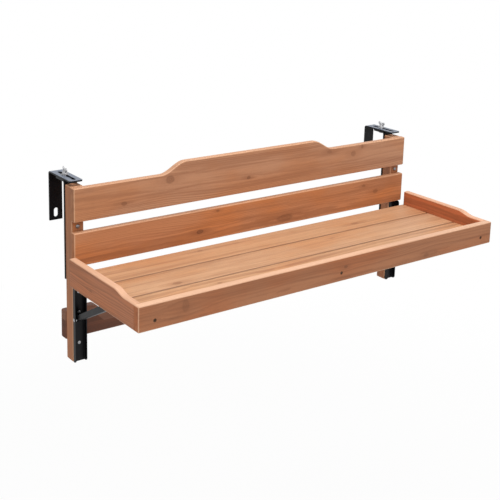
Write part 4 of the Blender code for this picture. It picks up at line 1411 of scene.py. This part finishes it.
    def build_strap_nut(self, node: str) -> None:
        """The nut of that bolt, on the strap's rear face.

        Args:
            node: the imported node.
        """
        low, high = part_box(node)
        stand = standing(middle_of(node, y=low.y), Y_AXIS)
        height, bore = high.y - low.y, self.strap_bolt_radius + self.strap_nut_play
        thing = self.hexagon(node + "_turned", self.strap_nut_width, height, stand, True)
        lip, margin = self.strap_nut_lip, self.margin
        walls = [(0.0, -margin), (bore, -margin), (bore, height - lip), (bore + lip, height),
                 (bore + lip, height + margin), (0.0, height + margin)]
        adopt(self.faceted(carved(thing, [turned("bore", walls, stand)]), 20.0), node, self.zinc)


@dataclass
class WoodScrews:
    """Countersunk wood screws with a cross recess and a coarse thread."""

    bright: Finish
    stained_and_shaded: Finish
    shank: float = 0.0020
    cone: float = 0.0028
    point: float = 0.0060
    tip: float = 0.0003
    pitch: float = 0.0018
    thread: float = 0.00055
    recess_span: float = 0.0046
    recess_floor: float = 0.44
    recess_width: float = 0.0011
    recess_depth: float = 0.0016
    margin: float = 0.001
    crown: float = 0.0003

    def build(self) -> None:
        """Makes all wood screws, the apron's in dark zinc: stain over their heads and painted shade of their
        sunk holes.
        """
        for side in SIDES:
            for place in ("lower", "middle", "upper"):
                self.build_screw(f"channel_screw_{side}_{place}", -Y_AXIS, self.bright)
            for place in ("front", "rear"):
                self.build_screw(f"arm_screw_{side}_{place}", -Z_AXIS, self.bright)
            self.build_screw("strap_screw_" + side, Y_AXIS, self.bright)
        for place in ("left", "middle", "right"):
            self.build_screw("apron_screw_" + place, -Y_AXIS, self.stained_and_shaded)

    def build_screw(self, node: str, out: Vector, finish: Finish) -> None:
        """One screw.

        Args:
            node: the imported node.
            out: the way its head faces.
            finish: its finish.
        """
        low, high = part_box(node)
        size = high - low
        length, head, r = abs(size.dot(out)), min(size) / 2, self.shank
        profile = [(0.0, 0.0), (head * 0.5, -self.crown * 0.3), (head * 0.96, -self.crown),
                   (head, -self.crown * 2), (r, -self.cone), (r, -length + self.point),
                   (self.tip, -length + self.tip), (0.0, -length)]
        thread = Thread(-length, -length * 0.35, self.pitch, self.thread)
        place = standing((low + high) / 2 + out * (length / 2), out)
        thing = turned(node + "_turned", profile, place, 32, thread)
        wide, deep, half, margin = self.recess_span / 2, self.recess_depth, self.recess_width / 2, self.margin
        narrow = wide * self.recess_floor
        wedge = [(-wide, margin), (-wide, 0.0), (-narrow, -deep), (narrow, -deep), (wide, 0.0),
                 (wide, margin)]
        cutters = []
        for turn in (45.0, 135.0):
            swing = place @ Matrix.Rotation(math.radians(turn), 4, "Z")
            cutters.append(prism("recess", wedge, -half, half, lambda a, b, c: swing @ Vector((a, c, b))))
        carved(thing, cutters).data.set_sharp_from_angle(angle=math.radians(38.0))
        adopt(thing, node, finish)


@dataclass(frozen=True)
class Lamp:
    """A soft square lamp, aimed at the tray's middle."""

    name: str
    place: Tuple[float, float, float]
    size: float
    power: float
    aim: Tuple[float, float, float] = (0.0, -0.2, 0.1)

    def build(self) -> None:
        """Hangs the lamp."""
        light = bpy.data.lights.new(self.name, "AREA")
        light.size = self.size
        light.energy = self.power
        thing = bpy.data.objects.new(self.name, light)
        thing.location = self.place
        way = Vector(self.aim) - Vector(self.place)
        thing.rotation_euler = way.to_track_quat("-Z", "Y").to_euler()
        bpy.context.scene.collection.objects.link(thing)


@dataclass
class Studio:
    """Pale floor, soft light, white surroundings and the photograph's camera."""

    floor_height: float = -0.95
    floor_size: float = 40.0
    floor_white: float = 0.92
    sensor: float = 36.0
    focal_pixels: float = 1015.529
    image_pixels: float = 500.0
    principal_row: float = 130.0
    azimuth: float = -36.7179
    elevation: float = 12.6726
    roll: float = 1.5929
    eye: Vector = field(default_factory=lambda: Vector((-1.692573, -2.307138, 1.102145)))
    fill_level: float = 0.55
    lamps: Tuple[Lamp, ...] = (Lamp("top_panel", (-0.2, -0.7, 3.0), 2.4, 60.0),
                               Lamp("front_panel", (-0.6, -3.1, 2.3), 1.6, 40.0))

    def build(self) -> None:
        """Makes the floor, the world, the lamps and the camera."""
        self.make_floor()
        self.make_world()
        for lamp in self.lamps:
            lamp.build()
        self.make_camera()
        bpy.context.scene.view_settings.view_transform = "Standard"

    def seen_directly(self, g: Graph) -> Signal:
        """Tells rays that see plain white from those that carry light.

        Args:
            g: the graph of the floor or the world.

        Returns:
            1 for rays from the camera, from gloss or through glass, and 0 for others.
        """
        camera, gloss, glass = (g.node("ShaderNodeLightPath", output=name) for name in
                                ("Is Camera Ray", "Is Glossy Ray", "Is Transmission Ray"))
        return camera.math("MAXIMUM", gloss).math("MAXIMUM", glass)

    def make_floor(self) -> None:
        """A wide pale floor, near white but for the object's shadow, and clear from below."""
        bm = bmesh.new()
        bmesh.ops.create_grid(bm, x_segments=8, y_segments=8, size=self.floor_size / 2)
        mesh = bpy.data.meshes.new("floor")
        bm.to_mesh(mesh)
        bm.free()
        floor = new_object("floor", mesh)
        floor.location.z = self.floor_height
        material, g = new_material("pale_floor")
        place = g.node("ShaderNodeTexCoord", None, None, "Object")
        distance = g.node("ShaderNodeVectorMath", {"operation": "LENGTH"}, {0: place}, "Value")
        far = distance.smooth(1.0, 2.6)
        diffuse = g.node("ShaderNodeBsdfDiffuse", None, {"Color": (0.90, 0.90, 0.89, 1.0)})
        white = g.node("ShaderNodeEmission", None, {"Color": (1.0, 1.0, 1.0, 1.0), "Strength": 1.0})
        share = self.seen_directly(g) * (self.floor_white + far * (1.0 - self.floor_white))
        top = g.node("ShaderNodeMixShader", None, {0: share, 1: diffuse, 2: white})
        clear = g.node("ShaderNodeBsdfTransparent")
        behind = g.node("ShaderNodeNewGeometry", None, None, "Backfacing")
        g.surface(g.node("ShaderNodeMixShader", None, {0: behind, 1: top, 2: clear}))
        mesh.materials.append(material)

    def make_world(self) -> None:
        """White to the camera and in reflections, and a softer grey as light."""
        world = bpy.data.worlds.new("studio")
        world.use_nodes = True
        bpy.context.scene.world = world
        g = Graph(world.node_tree)
        strength = self.fill_level + self.seen_directly(g) * (1.0 - self.fill_level)
        light = g.node("ShaderNodeBackground", None, {"Color": (1.0, 1.0, 1.0, 1.0), "Strength": strength})
        g.node("ShaderNodeOutputWorld", None, {"Surface": light})

    def make_camera(self) -> None:
        """The camera that was fitted to the photograph."""
        camera = bpy.data.cameras.new("camera")
        camera.sensor_width = self.sensor
        camera.lens = self.focal_pixels / self.image_pixels * self.sensor
        camera.shift_y = (self.principal_row - self.image_pixels / 2) / self.image_pixels
        azimuth, elevation, roll = (math.radians(a) for a in (self.azimuth, self.elevation, self.roll))
        back = Vector((math.sin(azimuth) * math.cos(elevation), -math.cos(azimuth) * math.cos(elevation),
                       math.sin(elevation)))
        right = Vector((-back.y, back.x, 0.0)).normalized()
        up = back.cross(right)
        right, up = (right * math.cos(roll) + up * math.sin(roll),
                     up * math.cos(roll) - right * math.sin(roll))
        thing = bpy.data.objects.new("camera", camera)
        thing.matrix_world = Matrix.Translation(self.eye) @ Matrix((right, up, back)).transposed().to_4x4()
        bpy.context.scene.collection.objects.link(thing)
        bpy.context.scene.camera = thing


def main() -> None:
    """Builds the looks in order."""
    logging.basicConfig(level=logging.INFO, format="%(message)s")
    steel = CoatedSteel().material()
    bright = ZincPlate().material()
    dull = ZincPlate("dull_zinc", (0.30, 0.30, 0.31), (0.16, 0.16, 0.17), 0.34).material()
    # Dark brown zinc for the apron screws: stain over the heads and painted shade of their sunk holes.
    stained_and_shaded = ZincPlate("stained_and_shaded_screws", (0.120, 0.075, 0.050), (0.060, 0.036, 0.024), 0.42).material()
    BackFrame().build()
    Tray().build()
    Brackets(steel, bright).build()
    Hangers(steel, bright, dull).build()
    WoodScrews(bright, stained_and_shaded).build()
    Studio().build()


if __name__ == "__main__":
    main()
